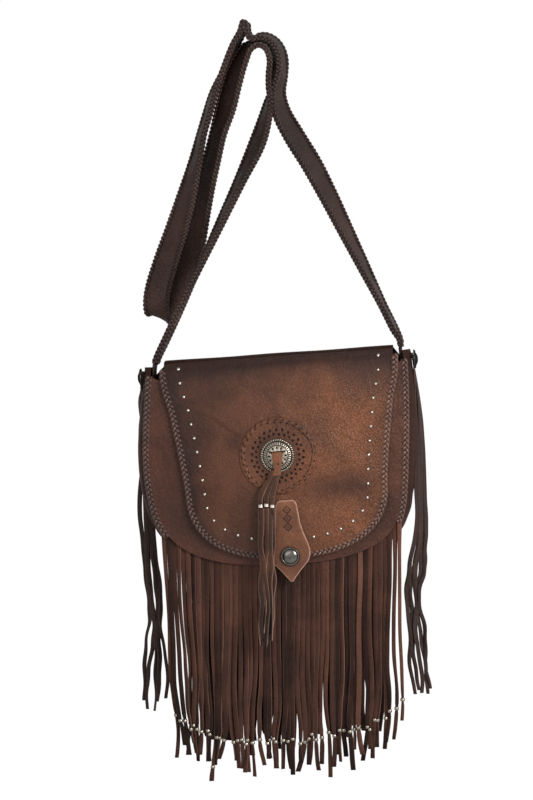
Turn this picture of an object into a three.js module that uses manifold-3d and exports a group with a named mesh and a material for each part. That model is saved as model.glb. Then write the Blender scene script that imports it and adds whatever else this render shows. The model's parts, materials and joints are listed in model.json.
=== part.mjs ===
// A fringed leather shoulder bag, hanging by its strap. Millimetres, +Z up, the front faces -Y.
// The origin is the underside of the strap's arch, where a hook or a shoulder goes.
// The body is drawn in its own frame: u to the right, v up from the middle of its top edge, y back.
import * as THREE from "three";
import { mergeVertices } from "three/addons/utils/BufferGeometryUtils.js";
import Module from "manifold-3d";

const wasm = await Module();
wasm.setup();

// Air between pieces that touch.
const gap = 0.35;

// Where the bag hangs under the hook, and how far its right side is up.
const hangX = 21.5;
const hangDrop = 320.8;
const leanDegrees = 4;

// Side seams and bottom seam of the body, as half widths at depths below the top edge.
const bodyHeight = 223.4;
const seamTopHalf = 133;
const seamMiddleHalf = 138;
const cornerDepth = 150;
const cornerHalf = 132.5;
const cornerReach = 112;
const cornerShare = 0.66;
const swayTop = 2;
const swayMiddle = 8;
const swayPower = 1.4;

// Depth of the body between its front and back panels.
const mouthDepth = 35;
const middleDepth = 46;
const bottomDepth = 36;
const belly = 5;

// Leather.
const panelThick = 2.4;
const gussetThick = 2.2;
const flapThick = 2.6;
const fringeThick = 1.4;
const tabThick = 2.4;
const thongThick = 1.6;

// The gusset's outward curve beyond the seams.
const gussetTop = 5.5;
const gussetOutTop = 6;
const gussetOutBottom = 2.5;
const gussetOutMiddle = 6;
const gussetTuck = 1.5;

// Front panel's scooped mouth and the back hide's roll over the top.
const mouthCorner = 16;
const mouthScoop = 26;
const rollDepth = 15;
const hingeDepth = 5;
const hingeAhead = 2.6;

// Flap outline, as half widths at depths below the top edge, with its laced edge.
const flapHeight = 214.4;
const flapTopHalf = 124.5;
const wingHalf = 125.5;
const wingDepth = 60;
const waistHalf = 115.8;
const flapCornerDepth = 146;
const flapCornerHalf = 105;
const flapCornerReach = 80;
const flapCornerShare = 0.68;
const flapWaistPull = 24;
const flapCornerPull = 28;
const flapOffTop = 1.4;
const flapOffBottom = 3.8;
const tongueHalf = 13;
const tongueDepth = 222;
const tongueOverlap = 24;

// Lacing: width on the edge, thickness, and length of one stitch.
const laceWide = 4.2;
const laceTall = 3.8;
const laceStitch = 6.8;
const laceEnd = 182;

// Fringe: strands along the bottom seam, with a metal bead near each front end.
const strandCount = 43;
const strandWide = 4.7;
const strandLength = 216;
const strandSpread = 6;
const strandWave = 2;
const neckHalf = 1.4;
const headerHeight = 9;
const headerTuck = 3;
const beadDown = 184;
const beadRadius = 2.6;
const beadHigh = 4.4;
const backStrandCount = 31;
const backStrandLength = 176;

// Studs along the flap's edge.
const studRadius = 2.4;
const studHigh = 1.8;
const studInset = 20;
const studPitch = 14.8;
const studStart = 4;
const studsLeft = 15;
const studsRight = 16;

// Rosette and its concho.
const conchoU = -6.4;
const conchoDepth = 106.4;
const rosetteRadius = 41;
const rosetteThick = 1.3;
const conchoRadius = 17.8;
const conchoHigh = 4.6;
const conchoRim = 1.4;
const conchoScallops = 20;
const slotWide = 12.6;
const slotHigh = 2.8;
const slotAbove = 3.6;
const slotBelow = 6.4;

// Centre tassel, cut from the strip that goes through the concho.
const thongCount = 5;
const thongWide = 4.2;
const thongLength = 196;
const stemWide = 3.5;
const stemApart = 6.1;
const crimpDown = 50;
const crimpRadius = 2.9;
const crimpWall = 0.5;
const crimpHigh = 3.2;
const tasselLean = 9;

// Closure tab and its snap.
const tabU = -0.9;
const tabTop = 153;
const tabTopHalf = 11;
const tabWaistDepth = 178;
const tabWaistHalf = 13;
const tabHipDepth = 206;
const tabHipHalf = 21.5;
const tabSideDepth = 217;
const tabSideHalf = 19.5;
const tabTip = 238.5;
const snapDepth = 211.8;
const snapRadius = 9.7;
const snapHigh = 3.2;
const snapPost = 2.2;
const socketRadius = 5.6;
const socketHigh = 1.7;
const studBaseRadius = 5.2;
const studBaseHigh = 0.7;
const snapNubRadius = 2;
const snapNubHigh = 1.5;

// Side conchos, their screws and tassels.
const sideDepth = 16;
const sideRadius = 10;
const sideHigh = 4;
const sidePost = 2;
const sideScrewRadius = 4.5;
const sideScrewHigh = 1.6;
const sideStrands = 5;
const sideStrandWide = 4.6;
const sideTasselLength = 335;
const sideTasselHead = 7;

// Shoulder strap.
const strapWide = 28;
const strapThick = 3.6;
const strapExitHalf = 127.4;
const strapInGusset = 10.6;
const strapTail = 34;
const strapStep = 15;

const lean = THREE.MathUtils.degToRad(leanDegrees);
const down = new THREE.Vector3(-Math.sin(lean), 0, -Math.cos(lean));
const seamUnder = gap + fringeThick + gap;
const panelColumns = 16;
const panelRows = 9;

const colours = {
  hide: 0x6b4636,
  dark: 0x4a332b,
  strap: 0x3b2b26,
  lace: 0x6a4a3c,
  fringe: 0x523a30,
  tab: 0x7d523c,
  silver: 0xb9b5aa,
  nickel: 0x6f6e6c,
};

function leather(colour) {
  return new THREE.MeshStandardMaterial({ color: colour, roughness: 0.62, metalness: 0 });
}

function metal(colour) {
  return new THREE.MeshStandardMaterial({ color: colour, roughness: 0.3, metalness: 1 });
}

// Joins shared vertices, drops faces without area and turns every face outwards.
function closed(geometry) {
  const bare = new THREE.BufferGeometry();
  bare.setAttribute("position", geometry.getAttribute("position"));
  bare.setIndex(geometry.index);
  const merged = mergeVertices(bare, 1e-4);
  const corners = merged.index.array;
  const kept = [];
  for (let i = 0; i < corners.length; i += 3) {
    const [a, b, c] = [corners[i], corners[i + 1], corners[i + 2]];
    if (a !== b && b !== c && a !== c) kept.push(a, b, c);
  }
  const spots = merged.getAttribute("position");
  const corner = (i) => new THREE.Vector3().fromBufferAttribute(spots, i);
  let volume = 0;
  for (let i = 0; i < kept.length; i += 3) {
    volume += corner(kept[i]).dot(corner(kept[i + 1]).cross(corner(kept[i + 2])));
  }
  merged.setIndex(volume < 0 ? kept.reverse() : kept);
  return merged;
}

function solid(geometry) {
  const shell = closed(geometry);
  return new wasm.Manifold(
    new wasm.Mesh({
      numProp: 3,
      vertProperties: new Float32Array(shell.getAttribute("position").array),
      triVerts: new Uint32Array(shell.index.array),
    }),
  );
}

function geometryOf(body) {
  const mesh = body.getMesh();
  const geometry = new THREE.BufferGeometry();
  geometry.setAttribute("position", new THREE.BufferAttribute(mesh.vertProperties, 3));
  geometry.setIndex(new THREE.BufferAttribute(mesh.triVerts, 1));
  return geometry;
}

// One body from several that overlap.
function joined(geometries) {
  return geometryOf(geometries.map(solid).reduce((sum, body) => sum.add(body)));
}

function cut(geometry, tools) {
  return geometryOf(tools.map(solid).reduce((rest, tool) => rest.subtract(tool), solid(geometry)));
}

// A closed body through rings of points, its two ends closed flat.
function loft(rings) {
  const sides = rings[0].length;
  const index = [];
  for (let j = 0; j + 1 < rings.length; j++) {
    for (let i = 0; i < sides; i++) {
      const here = j * sides + i;
      const beside = j * sides + ((i + 1) % sides);
      index.push(here, beside, beside + sides, here, beside + sides, here + sides);
    }
  }
  const last = (rings.length - 1) * sides;
  for (let i = 1; i + 1 < sides; i++) {
    index.push(0, i + 1, i, last, last + i, last + i + 1);
  }
  const geometry = new THREE.BufferGeometry().setFromPoints(rings.flat());
  geometry.setIndex(index);
  return closed(geometry);
}

// A sheet of leather: its middle surface as rows of points, with half its thickness on each side.
function sheet(rows, thickness) {
  const across = rows[0].length;
  const outer = [];
  const inner = [];
  rows.forEach((row, j) =>
    row.forEach((point, i) => {
      const along = row[Math.min(i + 1, across - 1)].clone().sub(row[Math.max(i - 1, 0)]);
      const below = rows[Math.min(j + 1, rows.length - 1)][i].clone();
      const fall = below.sub(rows[Math.max(j - 1, 0)][i]);
      const half = along.cross(fall).setLength(thickness / 2);
      outer.push(point.clone().add(half));
      inner.push(point.clone().sub(half));
    }),
  );
  const index = [];
  const offset = outer.length;
  for (let j = 0; j + 1 < rows.length; j++) {
    for (let i = 0; i + 1 < across; i++) {
      const a = j * across + i;
      const b = a + across;
      index.push(a, b, a + 1, a + 1, b, b + 1);
      index.push(offset + a, offset + a + 1, offset + b, offset + a + 1, offset + b + 1, offset + b);
    }
  }
  const rim = [];
  for (let i = 0; i < across - 1; i++) rim.push(i);
  for (let j = 0; j < rows.length - 1; j++) rim.push(j * across + across - 1);
  for (let i = across - 1; i > 0; i--) rim.push((rows.length - 1) * across + i);
  for (let j = rows.length - 1; j > 0; j--) rim.push(j * across);
  rim.forEach((a, k) => {
    const b = rim[(k + 1) % rim.length];
    index.push(a, b, offset + b, a, offset + b, offset + a);
  });
  const geometry = new THREE.BufferGeometry().setFromPoints([...outer, ...inner]);
  geometry.setIndex(index);
  return closed(geometry);
}

// A flat strip of leather through places, each with the vector from its middle to one edge.
function strip(places, thickness) {
  const rings = places.map(({ at, edge }, i) => {
    const before = places[Math.max(i - 1, 0)].at;
    const after = places[Math.min(i + 1, places.length - 1)].at;
    const way = after.clone().sub(before).normalize();
    const wide = edge.clone().addScaledVector(way, -edge.dot(way)).setLength(edge.length());
    const half = wide.clone().cross(way).setLength(thickness / 2);
    return [
      at.clone().add(wide).add(half),
      at.clone().sub(wide).add(half),
      at.clone().sub(wide).sub(half),
      at.clone().add(wide).sub(half),
    ];
  });
  return loft(rings);
}

// A turned body facing forward: radius and height pairs from the axis at its back to the axis at its front.
function turned(profile, segments) {
  const points = profile.map(([radius, height]) => new THREE.Vector2(radius, -height));
  return closed(new THREE.LatheGeometry(points, segments));
}

// A round bar through the leather, facing forward.
function bar(radius, length, segments = 10) {
  return new THREE.CylinderGeometry(radius, radius, length, segments);
}

// A small, repeatable unevenness between -1 and 1.
function uneven(i, seed) {
  return Math.sin(i * 2.399 + seed * 1.7) * Math.cos(i * 1.131 + seed * 0.9);
}

function bezier(...pairs) {
  return new THREE.CubicBezierCurve(...pairs.map(([u, depth]) => new THREE.Vector2(u, -depth)));
}

// The right half of the body's seam, from the top edge to the middle of the bottom.
const seam = new THREE.CurvePath();
seam.add(
  bezier(
    [seamTopHalf, 0],
    [seamMiddleHalf - 1, cornerDepth / 3],
    [seamMiddleHalf + 1, (cornerDepth * 11) / 15],
    [cornerHalf, cornerDepth],
  ),
);
seam.add(
  bezier(
    [cornerHalf, cornerDepth],
    [cornerHalf - 5, (cornerDepth + bodyHeight) / 2],
    [cornerReach, bodyHeight],
    [0, bodyHeight],
  ),
);

// The right half of the flap's laced edge, from the top fold to the middle of the bottom.
const flapEdge = new THREE.CurvePath();
flapEdge.add(
  bezier(
    [flapTopHalf, hingeDepth],
    [wingHalf, wingDepth * 0.58],
    [waistHalf + 2.4, wingDepth * 0.72],
    [waistHalf, wingDepth],
  ),
);
flapEdge.add(
  bezier(
    [waistHalf, wingDepth],
    [waistHalf - 3.3, wingDepth + flapWaistPull],
    [flapCornerHalf + 1, flapCornerDepth - flapCornerPull],
    [flapCornerHalf, flapCornerDepth],
  ),
);
flapEdge.add(
  bezier(
    [flapCornerHalf, flapCornerDepth],
    [flapCornerHalf - 1, (flapCornerDepth + flapHeight) / 2],
    [flapCornerReach, flapHeight],
    [0, flapHeight],
  ),
);

// A point beside a half outline, with the outward direction there; side is 1 on the right and -1 on the left.
function beside(path, share, outward, side) {
  const at = path.getPointAt(share);
  const way = path.getTangentAt(share);
  const out = new THREE.Vector2(-way.y, way.x);
  return {
    u: side * (at.x + out.x * outward),
    v: at.y + out.y * outward,
    out: new THREE.Vector3(side * out.x, 0, out.y),
  };
}

// The share of a half outline at which it is as deep as wanted.
function shareAtDepth(path, depth) {
  let low = 0;
  let high = 1;
  for (let i = 0; i < 30; i++) {
    const middle = (low + high) / 2;
    if (-path.getPointAt(middle).y < depth) low = middle;
    else high = middle;
  }
  return (low + high) / 2;
}

function downShare(v) {
  return THREE.MathUtils.clamp(-v / bodyHeight, 0, 1);
}

// The body hangs a little to the left of its own middle line.
function sway(v) {
  return -swayTop - swayMiddle * Math.sin(Math.PI * downShare(v) ** swayPower);
}

// Half of the depth between the panels' inner faces at their edges.
function halfDepth(v) {
  const share = downShare(v);
  const ends = THREE.MathUtils.lerp(mouthDepth, bottomDepth, share);
  const middle = middleDepth - (mouthDepth + bottomDepth) / 2;
  return (ends + middle * Math.sin(Math.PI * share)) / 2;
}

// How far a panel swells out at a point of the body before it sways.
function swell(u, v) {
  return belly * Math.max(0, 1 - (u / seamTopHalf) ** 2) * Math.sin(Math.PI * downShare(v));
}

function panelFace(u, v) {
  return halfDepth(v) + panelThick + swell(u, v);
}

// How far ahead of the body's middle the flap's inner and outer faces lie.
function flapBack(u, v) {
  const off = THREE.MathUtils.lerp(flapOffTop, flapOffBottom, downShare(v));
  const over = panelFace(u - sway(v), v) + off;
  const fold = hingeAxis().ahead - flapThick / 2;
  return THREE.MathUtils.lerp(fold, over, THREE.MathUtils.smoothstep(-v, hingeDepth, rollDepth));
}

function flapFace(u, v) {
  return flapBack(u, v) + flapThick;
}

function hingeAxis() {
  return { ahead: mouthDepth / 2 + hingeAhead, v: -hingeDepth };
}

// A four-sided patch of points inside a half outline and its mirror, under a top line.
function patch(path, share, outward, topLine, columns, rows) {
  const right = (t) => {
    const from = shareAtDepth(path, -topLine(1));
    const spot = beside(path, THREE.MathUtils.lerp(from, share, t), outward, 1);
    return new THREE.Vector2(spot.u, spot.v);
  };
  const left = (t) => {
    const from = shareAtDepth(path, -topLine(-1));
    const spot = beside(path, THREE.MathUtils.lerp(from, share, t), outward, -1);
    return new THREE.Vector2(spot.u, spot.v);
  };
  const bottom = (s) => {
    const away = Math.abs(2 * s - 1);
    const spot = beside(path, THREE.MathUtils.lerp(1, share, away), outward, s < 0.5 ? -1 : 1);
    return new THREE.Vector2(spot.u, spot.v);
  };
  const top = (s) => {
    const u = THREE.MathUtils.lerp(left(0).x, right(0).x, s);
    return new THREE.Vector2(u, topLine(2 * s - 1));
  };
  const grid = [];
  for (let j = 0; j <= rows; j++) {
    const t = j / rows;
    const row = [];
    for (let i = 0; i <= columns; i++) {
      const s = i / columns;
      const point = top(s).multiplyScalar(1 - t).addScaledVector(bottom(s), t);
      point.addScaledVector(left(t), 1 - s).addScaledVector(right(t), s);
      point.addScaledVector(top(0), -(1 - t) * (1 - s)).addScaledVector(top(1), -(1 - t) * s);
      point.addScaledVector(bottom(0), -t * (1 - s)).addScaledVector(bottom(1), -t * s);
      row.push(point);
    }
    grid.push(row);
  }
  return grid;
}

// The laced edges of the panels stop short of the seam line by half a lace and the air.
const panelInset = -(laceWide / 2 + gap);

function frontPanel() {
  const topLine = (s) => -(mouthCorner + mouthScoop * (1 - s * s));
  const grid = patch(seam, cornerShare, panelInset, topLine, panelColumns, panelRows);
  const rows = grid.map((row) =>
    row.map(({ x, y }) => new THREE.Vector3(x + sway(y), -(panelFace(x, y) - panelThick / 2), y)),
  );
  return sheet(rows, panelThick);
}

// The back panel and, in one piece with it, the roll over the mouth that ends where the flap starts.
function backPanel() {
  const columns = panelColumns;
  const topLine = () => -rollDepth;
  const grid = patch(seam, cornerShare, panelInset, topLine, columns, panelRows);
  const backRows = grid.map((row) =>
    row.map(({ x, y }) => new THREE.Vector3(x + sway(y), panelFace(x, y) - panelThick / 2, y)),
  );
  const back = mouthDepth / 2 + panelThick / 2;
  const front = -hingeAxis().ahead + flapThick / 2 + gap;
  const half = flapTopHalf - laceWide;
  const turn = (share) => ({
    y: THREE.MathUtils.lerp(front, back, share),
    v: -panelThick / 2 - (hingeDepth - panelThick / 2) * (1 - share) ** 4 - share ** 8 * 3.4,
  });
  const rollRows = [0, 0.08, 0.2, 0.5, 0.78, 0.9, 1].map((share) => {
    const { y, v } = turn(share);
    return Array.from(
      { length: columns + 1 },
      (unused, i) => new THREE.Vector3(half * ((2 * i) / columns - 1), y, v),
    );
  });
  return sheet([...rollRows, ...backRows], panelThick);
}

// The gusset: one strip from the left mouth round the bottom to the right mouth, curved outwards.
function gussetRows(steps, across) {
  const start = shareAtDepth(seam, gussetTop);
  const rows = [];
  for (let j = 0; j <= steps; j++) {
    const t = (2 * j) / steps - 1;
    const side = t < 0 ? -1 : 1;
    const share = THREE.MathUtils.lerp(1, start, Math.abs(t));
    const seamSpot = beside(seam, share, 0, side);
    const f = downShare(seamSpot.v);
    const ends = THREE.MathUtils.lerp(gussetOutTop, gussetOutBottom, f);
    const outward = ends + gussetOutMiddle * Math.sin(Math.PI * f) - gussetThick / 2;
    const reach = halfDepth(seamSpot.v) - seamUnder - gussetThick / 2;
    const row = [];
    for (let i = 0; i <= across; i++) {
      const angle = (Math.PI * i) / across;
      const away = -gussetTuck + (outward + gussetTuck) * Math.sin(angle);
      const spot = new THREE.Vector3(seamSpot.u + sway(seamSpot.v), 0, seamSpot.v);
      spot.addScaledVector(seamSpot.out, away);
      spot.y = -reach * Math.cos(angle);
      row.push(spot);
    }
    rows.push(row);
  }
  return rows;
}

// Where the middle of the gusset's outer face is, at the side conchos or at another depth.
function gussetSide(side, depth = sideDepth) {
  const spot = beside(seam, shareAtDepth(seam, depth), 0, side);
  const f = downShare(spot.v);
  const ends = THREE.MathUtils.lerp(gussetOutTop, gussetOutBottom, f);
  const outward = ends + gussetOutMiddle * Math.sin(Math.PI * f);
  return spot.u + sway(spot.v) + side * outward;
}

// Puts a piece that faces forward on a side concho's axis, square to the gusset, so far out from its face.
function onSide(piece, side, outward) {
  const rise = Math.abs(gussetSide(side, sideDepth + 8)) - Math.abs(gussetSide(side, sideDepth - 8));
  const tilt = Math.atan(rise / 16);
  piece.rotateY(-side * tilt);
  const away = side * outward * Math.cos(tilt);
  return piece.translate(gussetSide(side) + away, 0, outward * Math.sin(tilt) - sideDepth);
}

function sideHole(side, outward, length) {
  return onSide(bar(sidePost + 2 * gap, length).rotateZ(Math.PI / 2), side, outward);
}

function gusset() {
  const holes = [-1, 1].map((side) => sideHole(side, 0, 12));
  return cut(sheet(gussetRows(34, 6), gussetThick), holes);
}

function flap() {
  const topLine = () => -hingeDepth;
  const inset = -(laceWide + gap);
  const grid = patch(flapEdge, flapCornerShare, inset, topLine, panelColumns, panelRows + 2);
  const rows = grid.map((row, j) =>
    row.map(({ x, y }) => {
      const ahead = j === 0 ? hingeAxis().ahead : flapBack(x, y) + flapThick / 2;
      return new THREE.Vector3(x, -ahead, y);
    }),
  );
  const tongue = [];
  const tongueStep = (tongueDepth - flapHeight + tongueOverlap) / 5;
  for (let v = -flapHeight + tongueOverlap; v >= -tongueDepth - 0.01; v -= tongueStep) {
    const ahead = flapBack(tabU, v) + flapThick / 2;
    tongue.push([-1, 0, 1].map((s) => new THREE.Vector3(tabU + s * tongueHalf, -ahead, v)));
  }
  const hole = onSnap(bar(snapPost + gap, 20), flapBack(tabU, -snapDepth));
  return cut(joined([sheet(rows, flapThick), sheet(tongue, flapThick)]), [hole]);
}

// Lacing over an edge: a strip whose width swells at each stitch.
function lacing(path, from, to, outward, side, depthAt, shift) {
  const length = (to - from) * path.getLength();
  const steps = Math.round(length / laceStitch);
  const places = [];
  for (let k = 0; k <= steps; k++) {
    const spot = beside(path, THREE.MathUtils.lerp(from, to, k / steps), outward, side);
    const at = new THREE.Vector3(spot.u + shift(spot.v), depthAt(spot.u, spot.v), spot.v);
    const swollen = k % 2 ? 1 : 0.78;
    places.push({ at, edge: spot.out.clone().multiplyScalar((laceWide / 2) * swollen) });
  }
  return strip(places, laceTall);
}

function seamLacing(side, facing) {
  const depthAt = (u, v) => facing * (halfDepth(v) + laceTall / 2 - gap / 2);
  const from = shareAtDepth(seam, mouthCorner);
  return lacing(seam, from, shareAtDepth(seam, laceEnd), 0, side, depthAt, sway);
}

function flapLacing(side) {
  const depthAt = (u, v) => -(flapBack(u, v) + flapThick / 2);
  const from = shareAtDepth(flapEdge, rollDepth);
  let to = 1;
  while (Math.abs(side * flapEdge.getPointAt(to).x - tabU) < tabHipHalf + gap) to -= 0.001;
  return lacing(flapEdge, from, to, -laceWide / 2, side, depthAt, () => 0);
}

// A fringe: a comb cut from one piece, its header sewn into the bottom seam and its strands hanging plumb.
// Here a runs level to the right and b straight up, before the comb leans back into the body's frame.
function fringe(facing, count, length, beads) {
  const plumb = (outward) => {
    const first = shareAtDepth(seam, laceEnd + laceWide);
    const line = [];
    for (let j = 0; j <= 60; j++) {
      const t = (2 * j) / 60 - 1;
      const { u, v } = beside(seam, THREE.MathUtils.lerp(1, first, Math.abs(t)), outward, t < 0 ? -1 : 1);
      line.push(new THREE.Vector2(u + sway(v), v).rotateAround(new THREE.Vector2(), lean));
    }
    return line;
  };
  const header = plumb(-headerTuck - headerHeight);
  const roots = plumb(-headerTuck);
  const rootAt = (a) => {
    const after = roots.findIndex((point) => point.x >= a);
    const to = roots[after < 1 ? (after ? roots.length - 1 : 1) : after];
    const from = roots[roots.indexOf(to) - 1];
    const share = THREE.MathUtils.clamp((a - from.x) / (to.x - from.x), 0, 1);
    return THREE.MathUtils.lerp(from.y, to.y, share);
  };
  const left = roots[0].x;
  const pitch = (roots[roots.length - 1].x - left) / count;
  const outline = new THREE.Shape(header.filter((point, j) => j % 4 === 0));
  const wide = Math.min(strandWide, pitch - gap);
  const reaches = [];
  const beadAt = (i) => beadDown + (strandSpread / 2) * uneven(i, 7);
  const middle = (i, share) => left + (i + 0.5) * pitch + ((pitch - wide) / 2) * uneven(i + share * 9, facing);
  for (let i = count - 1; i >= 0; i--) {
    reaches[i] = length + strandSpread * uneven(i, facing);
    const root = rootAt(middle(i, 0));
    const neck = beads ? beadAt(i) / reaches[i] : 0.8;
    const levels = [0.45, neck, 1];
    const half = (share) => (share === neck && beads ? neckHalf : (wide / 2) * (share === 1 ? 0.7 : 1));
    outline.lineTo(middle(i, 0) + half(0), rootAt(middle(i, 0) + half(0)));
    levels.forEach((share) => outline.lineTo(middle(i, share) + half(share), root - reaches[i] * share));
    levels.reverse();
    levels.forEach((share) => outline.lineTo(middle(i, share) - half(share), root - reaches[i] * share));
    outline.lineTo(middle(i, 0) - half(0), rootAt(middle(i, 0) - half(0)));
  }
  const comb = new THREE.ExtrudeGeometry(outline, { depth: fringeThick, bevelEnabled: false, steps: 1 });
  comb.rotateX(Math.PI / 2).translate(0, fringeThick / 2, 0);
  const layer = (v) => facing * (halfDepth(v) - gap - fringeThick / 2);
  const place = (a, y, b) => {
    const root = new THREE.Vector2(a, Math.max(b, rootAt(a))).rotateAround(new THREE.Vector2(), -lean);
    const fallen = Math.max(0, rootAt(a) - b) / length;
    const i = Math.floor((a - left) / pitch);
    const at = new THREE.Vector3(a, 0, b).applyAxisAngle(new THREE.Vector3(0, 1, 0), lean);
    at.y = y + layer(root.y) + strandWave * fallen * uneven(i, facing + 2);
    return at;
  };
  const spots = comb.getAttribute("position");
  for (let k = 0; k < spots.count; k++) {
    const { x, y, z } = place(spots.getX(k), spots.getY(k), spots.getZ(k));
    spots.setXYZ(k, x, y, z);
  }
  const bodies = [comb];
  for (let i = 0; beads && i < count; i++) {
    const drop = beadAt(i);
    const a = middle(i, drop / reaches[i]);
    const at = place(a, 0, rootAt(a) - drop);
    const bead = new THREE.CylinderGeometry(beadRadius, beadRadius, beadHigh, 6);
    bodies.push(bead.rotateX(Math.PI / 2).rotateY(lean).translate(at.x, at.y, at.z));
  }
  return joined(bodies);
}

// Places along the flap's edge for the studs of one side, which end where the closure tab begins.
function studPlaces(side, count) {
  const from = shareAtDepth(flapEdge, hingeDepth);
  const inset = -studInset;
  const places = [];
  let share = from;
  let before = beside(flapEdge, share, inset, side);
  let walked = 0;
  let next = studStart;
  const step = 0.0005;
  while (places.length < count && share + step < 1) {
    share += step;
    const here = beside(flapEdge, share, inset, side);
    if (Math.abs(here.u - tabU) < tabHipHalf + gap + studRadius) break;
    walked += Math.hypot(here.u - before.u, here.v - before.v);
    before = here;
    if (walked >= next) {
      places.push(here);
      next += studPitch;
    }
  }
  return places;
}

function stud() {
  return turned(
    [
      [0, 0],
      [studRadius, 0],
      [studRadius * 0.8, studHigh * 0.62],
      [0, studHigh],
    ],
    8,
  );
}

// A round patch of leather that follows the flap's face.
function rosette() {
  const radii = [0.45, 0.8];
  const profile = [
    [0, 0],
    ...radii.map((share) => [rosetteRadius * share, 0]),
    [rosetteRadius, 0],
    [rosetteRadius - rosetteThick, rosetteThick],
    ...radii.reverse().map((share) => [rosetteRadius * share, rosetteThick]),
    [0, rosetteThick],
  ];
  const disc = turned(profile, 24);
  const spots = disc.getAttribute("position");
  for (let i = 0; i < spots.count; i++) {
    const u = spots.getX(i) + conchoU;
    const v = spots.getZ(i) - conchoDepth;
    spots.setXYZ(i, u, spots.getY(i) - flapFace(u, v) - gap, v);
  }
  return disc;
}

const conchoSeat = flapFace(conchoU, -conchoDepth) + rosetteThick + 2 * gap;
const tasselAhead = conchoSeat + conchoHigh + gap + thongThick / 2;
const leadHalf = slotWide / 2 - gap;

function across(half) {
  return new THREE.Vector3(half, 0, 0);
}

// A place on the centre tassel, beside and below the concho's centre.
function tasselSpot(u, below, ahead) {
  return new THREE.Vector3(conchoU + u, -ahead, -conchoDepth - below);
}

// The stems spread on the way to their crimps and hang straight down from there.
function stemSpot(s, fallen) {
  const spread = THREE.MathUtils.smoothstep(fallen, 17, crimpDown - 2 * crimpHigh);
  const back = 0.03 * Math.max(0, fallen - crimpDown);
  const at = tasselSpot(-2, 0, tasselAhead - back).addScaledVector(down, fallen);
  at.x += s * THREE.MathUtils.lerp(leadHalf * 0.5, stemApart, spread) - tasselLean * spread;
  return at;
}

// A domed disc with a scalloped rim and two slots, one above the other, for the tassel's strip.
function concho() {
  const rim = new THREE.Shape();
  for (let k = 0; k < conchoScallops * 3; k++) {
    const angle = (2 * Math.PI * k) / (conchoScallops * 3);
    const radius = conchoRadius - (k % 3 ? 0 : 0.7);
    if (k) rim.lineTo(radius * Math.cos(angle), radius * Math.sin(angle));
    else rim.moveTo(radius, 0);
  }
  const flange = new THREE.ExtrudeGeometry(rim, { depth: conchoRim, bevelEnabled: false });
  flange.rotateX(Math.PI / 2);
  const dome = turned(
    [
      [0, conchoRim / 2],
      [conchoRadius * 0.84, conchoRim / 2],
      [conchoRadius * 0.8, conchoRim + 0.6],
      [conchoRadius * 0.7, conchoRim + 0.4],
      [conchoRadius * 0.62, conchoRim + 1.8],
      [conchoRadius * 0.35, conchoHigh * 0.9],
      [0, conchoHigh],
    ],
    30,
  );
  const slots = [slotAbove, -slotBelow].map((height) =>
    new THREE.BoxGeometry(slotWide, 4 * conchoHigh, slotHigh).translate(0, 0, height),
  );
  const body = cut(joined([flange, dome]), slots);
  return body.translate(conchoU, -conchoSeat, -conchoDepth);
}

// The centre tassel: its strip comes out of the concho's upper slot, narrows to three stems and ends in thongs.
function centreTassel() {
  const bodies = [
    strip(
      [
        { at: tasselSpot(0, -slotAbove, conchoSeat + conchoRim), edge: across(leadHalf) },
        { at: tasselSpot(0, -slotAbove, tasselAhead), edge: across(leadHalf) },
        { at: tasselSpot(0, 3, tasselAhead + 0.4), edge: across(leadHalf * 0.9) },
        { at: tasselSpot(-1.5, 12, tasselAhead + 0.3), edge: across(leadHalf * 0.72) },
        { at: tasselSpot(-3, 22, tasselAhead), edge: across(leadHalf * 0.95) },
      ],
      thongThick,
    ),
  ];
  for (const s of [-1, 0, 1]) {
    const fallen = [17, 30, crimpDown - 2 * crimpHigh, crimpDown + 1, crimpDown + 12];
    const places = fallen.map((depth) => ({ at: stemSpot(s, depth), edge: across(stemWide / 2) }));
    bodies.push(strip(places, thongThick));
  }
  for (let i = 0; i < thongCount; i++) {
    const s = (2 * i) / (thongCount - 1) - 1;
    const places = [];
    const from = crimpDown + crimpHigh;
    for (let k = 0; k <= 6; k++) {
      const fallen = from + ((thongLength + 8 * uneven(i, 3) - from) * k) / 6;
      const at = stemSpot(s * 1.25, fallen);
      at.x += k > 1 ? 1.2 * uneven(i + k, 2) : 0;
      at.y -= (thongThick * 0.8) * ((i % 2) - 0.5);
      places.push({ at, edge: across(thongWide / 2 - (k === 6 ? 1 : 0)) });
    }
    bodies.push(strip(places, thongThick));
  }
  return joined(bodies);
}

// Rings of metal closed round the three stems.
function crimp(s) {
  const corners = [
    [crimpRadius - crimpWall, 0],
    [crimpRadius, 0],
    [crimpRadius, crimpHigh],
    [crimpRadius - crimpWall, crimpHigh],
    [crimpRadius - crimpWall, 0],
  ];
  const ring = new THREE.LatheGeometry(corners.map(([radius, height]) => new THREE.Vector2(radius, height)), 12);
  ring.rotateX(Math.PI / 2).rotateY(-lean);
  const at = stemSpot(s, crimpDown + Math.abs(s) - 1);
  return closed(ring.translate(at.x, at.y, at.z));
}

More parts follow.
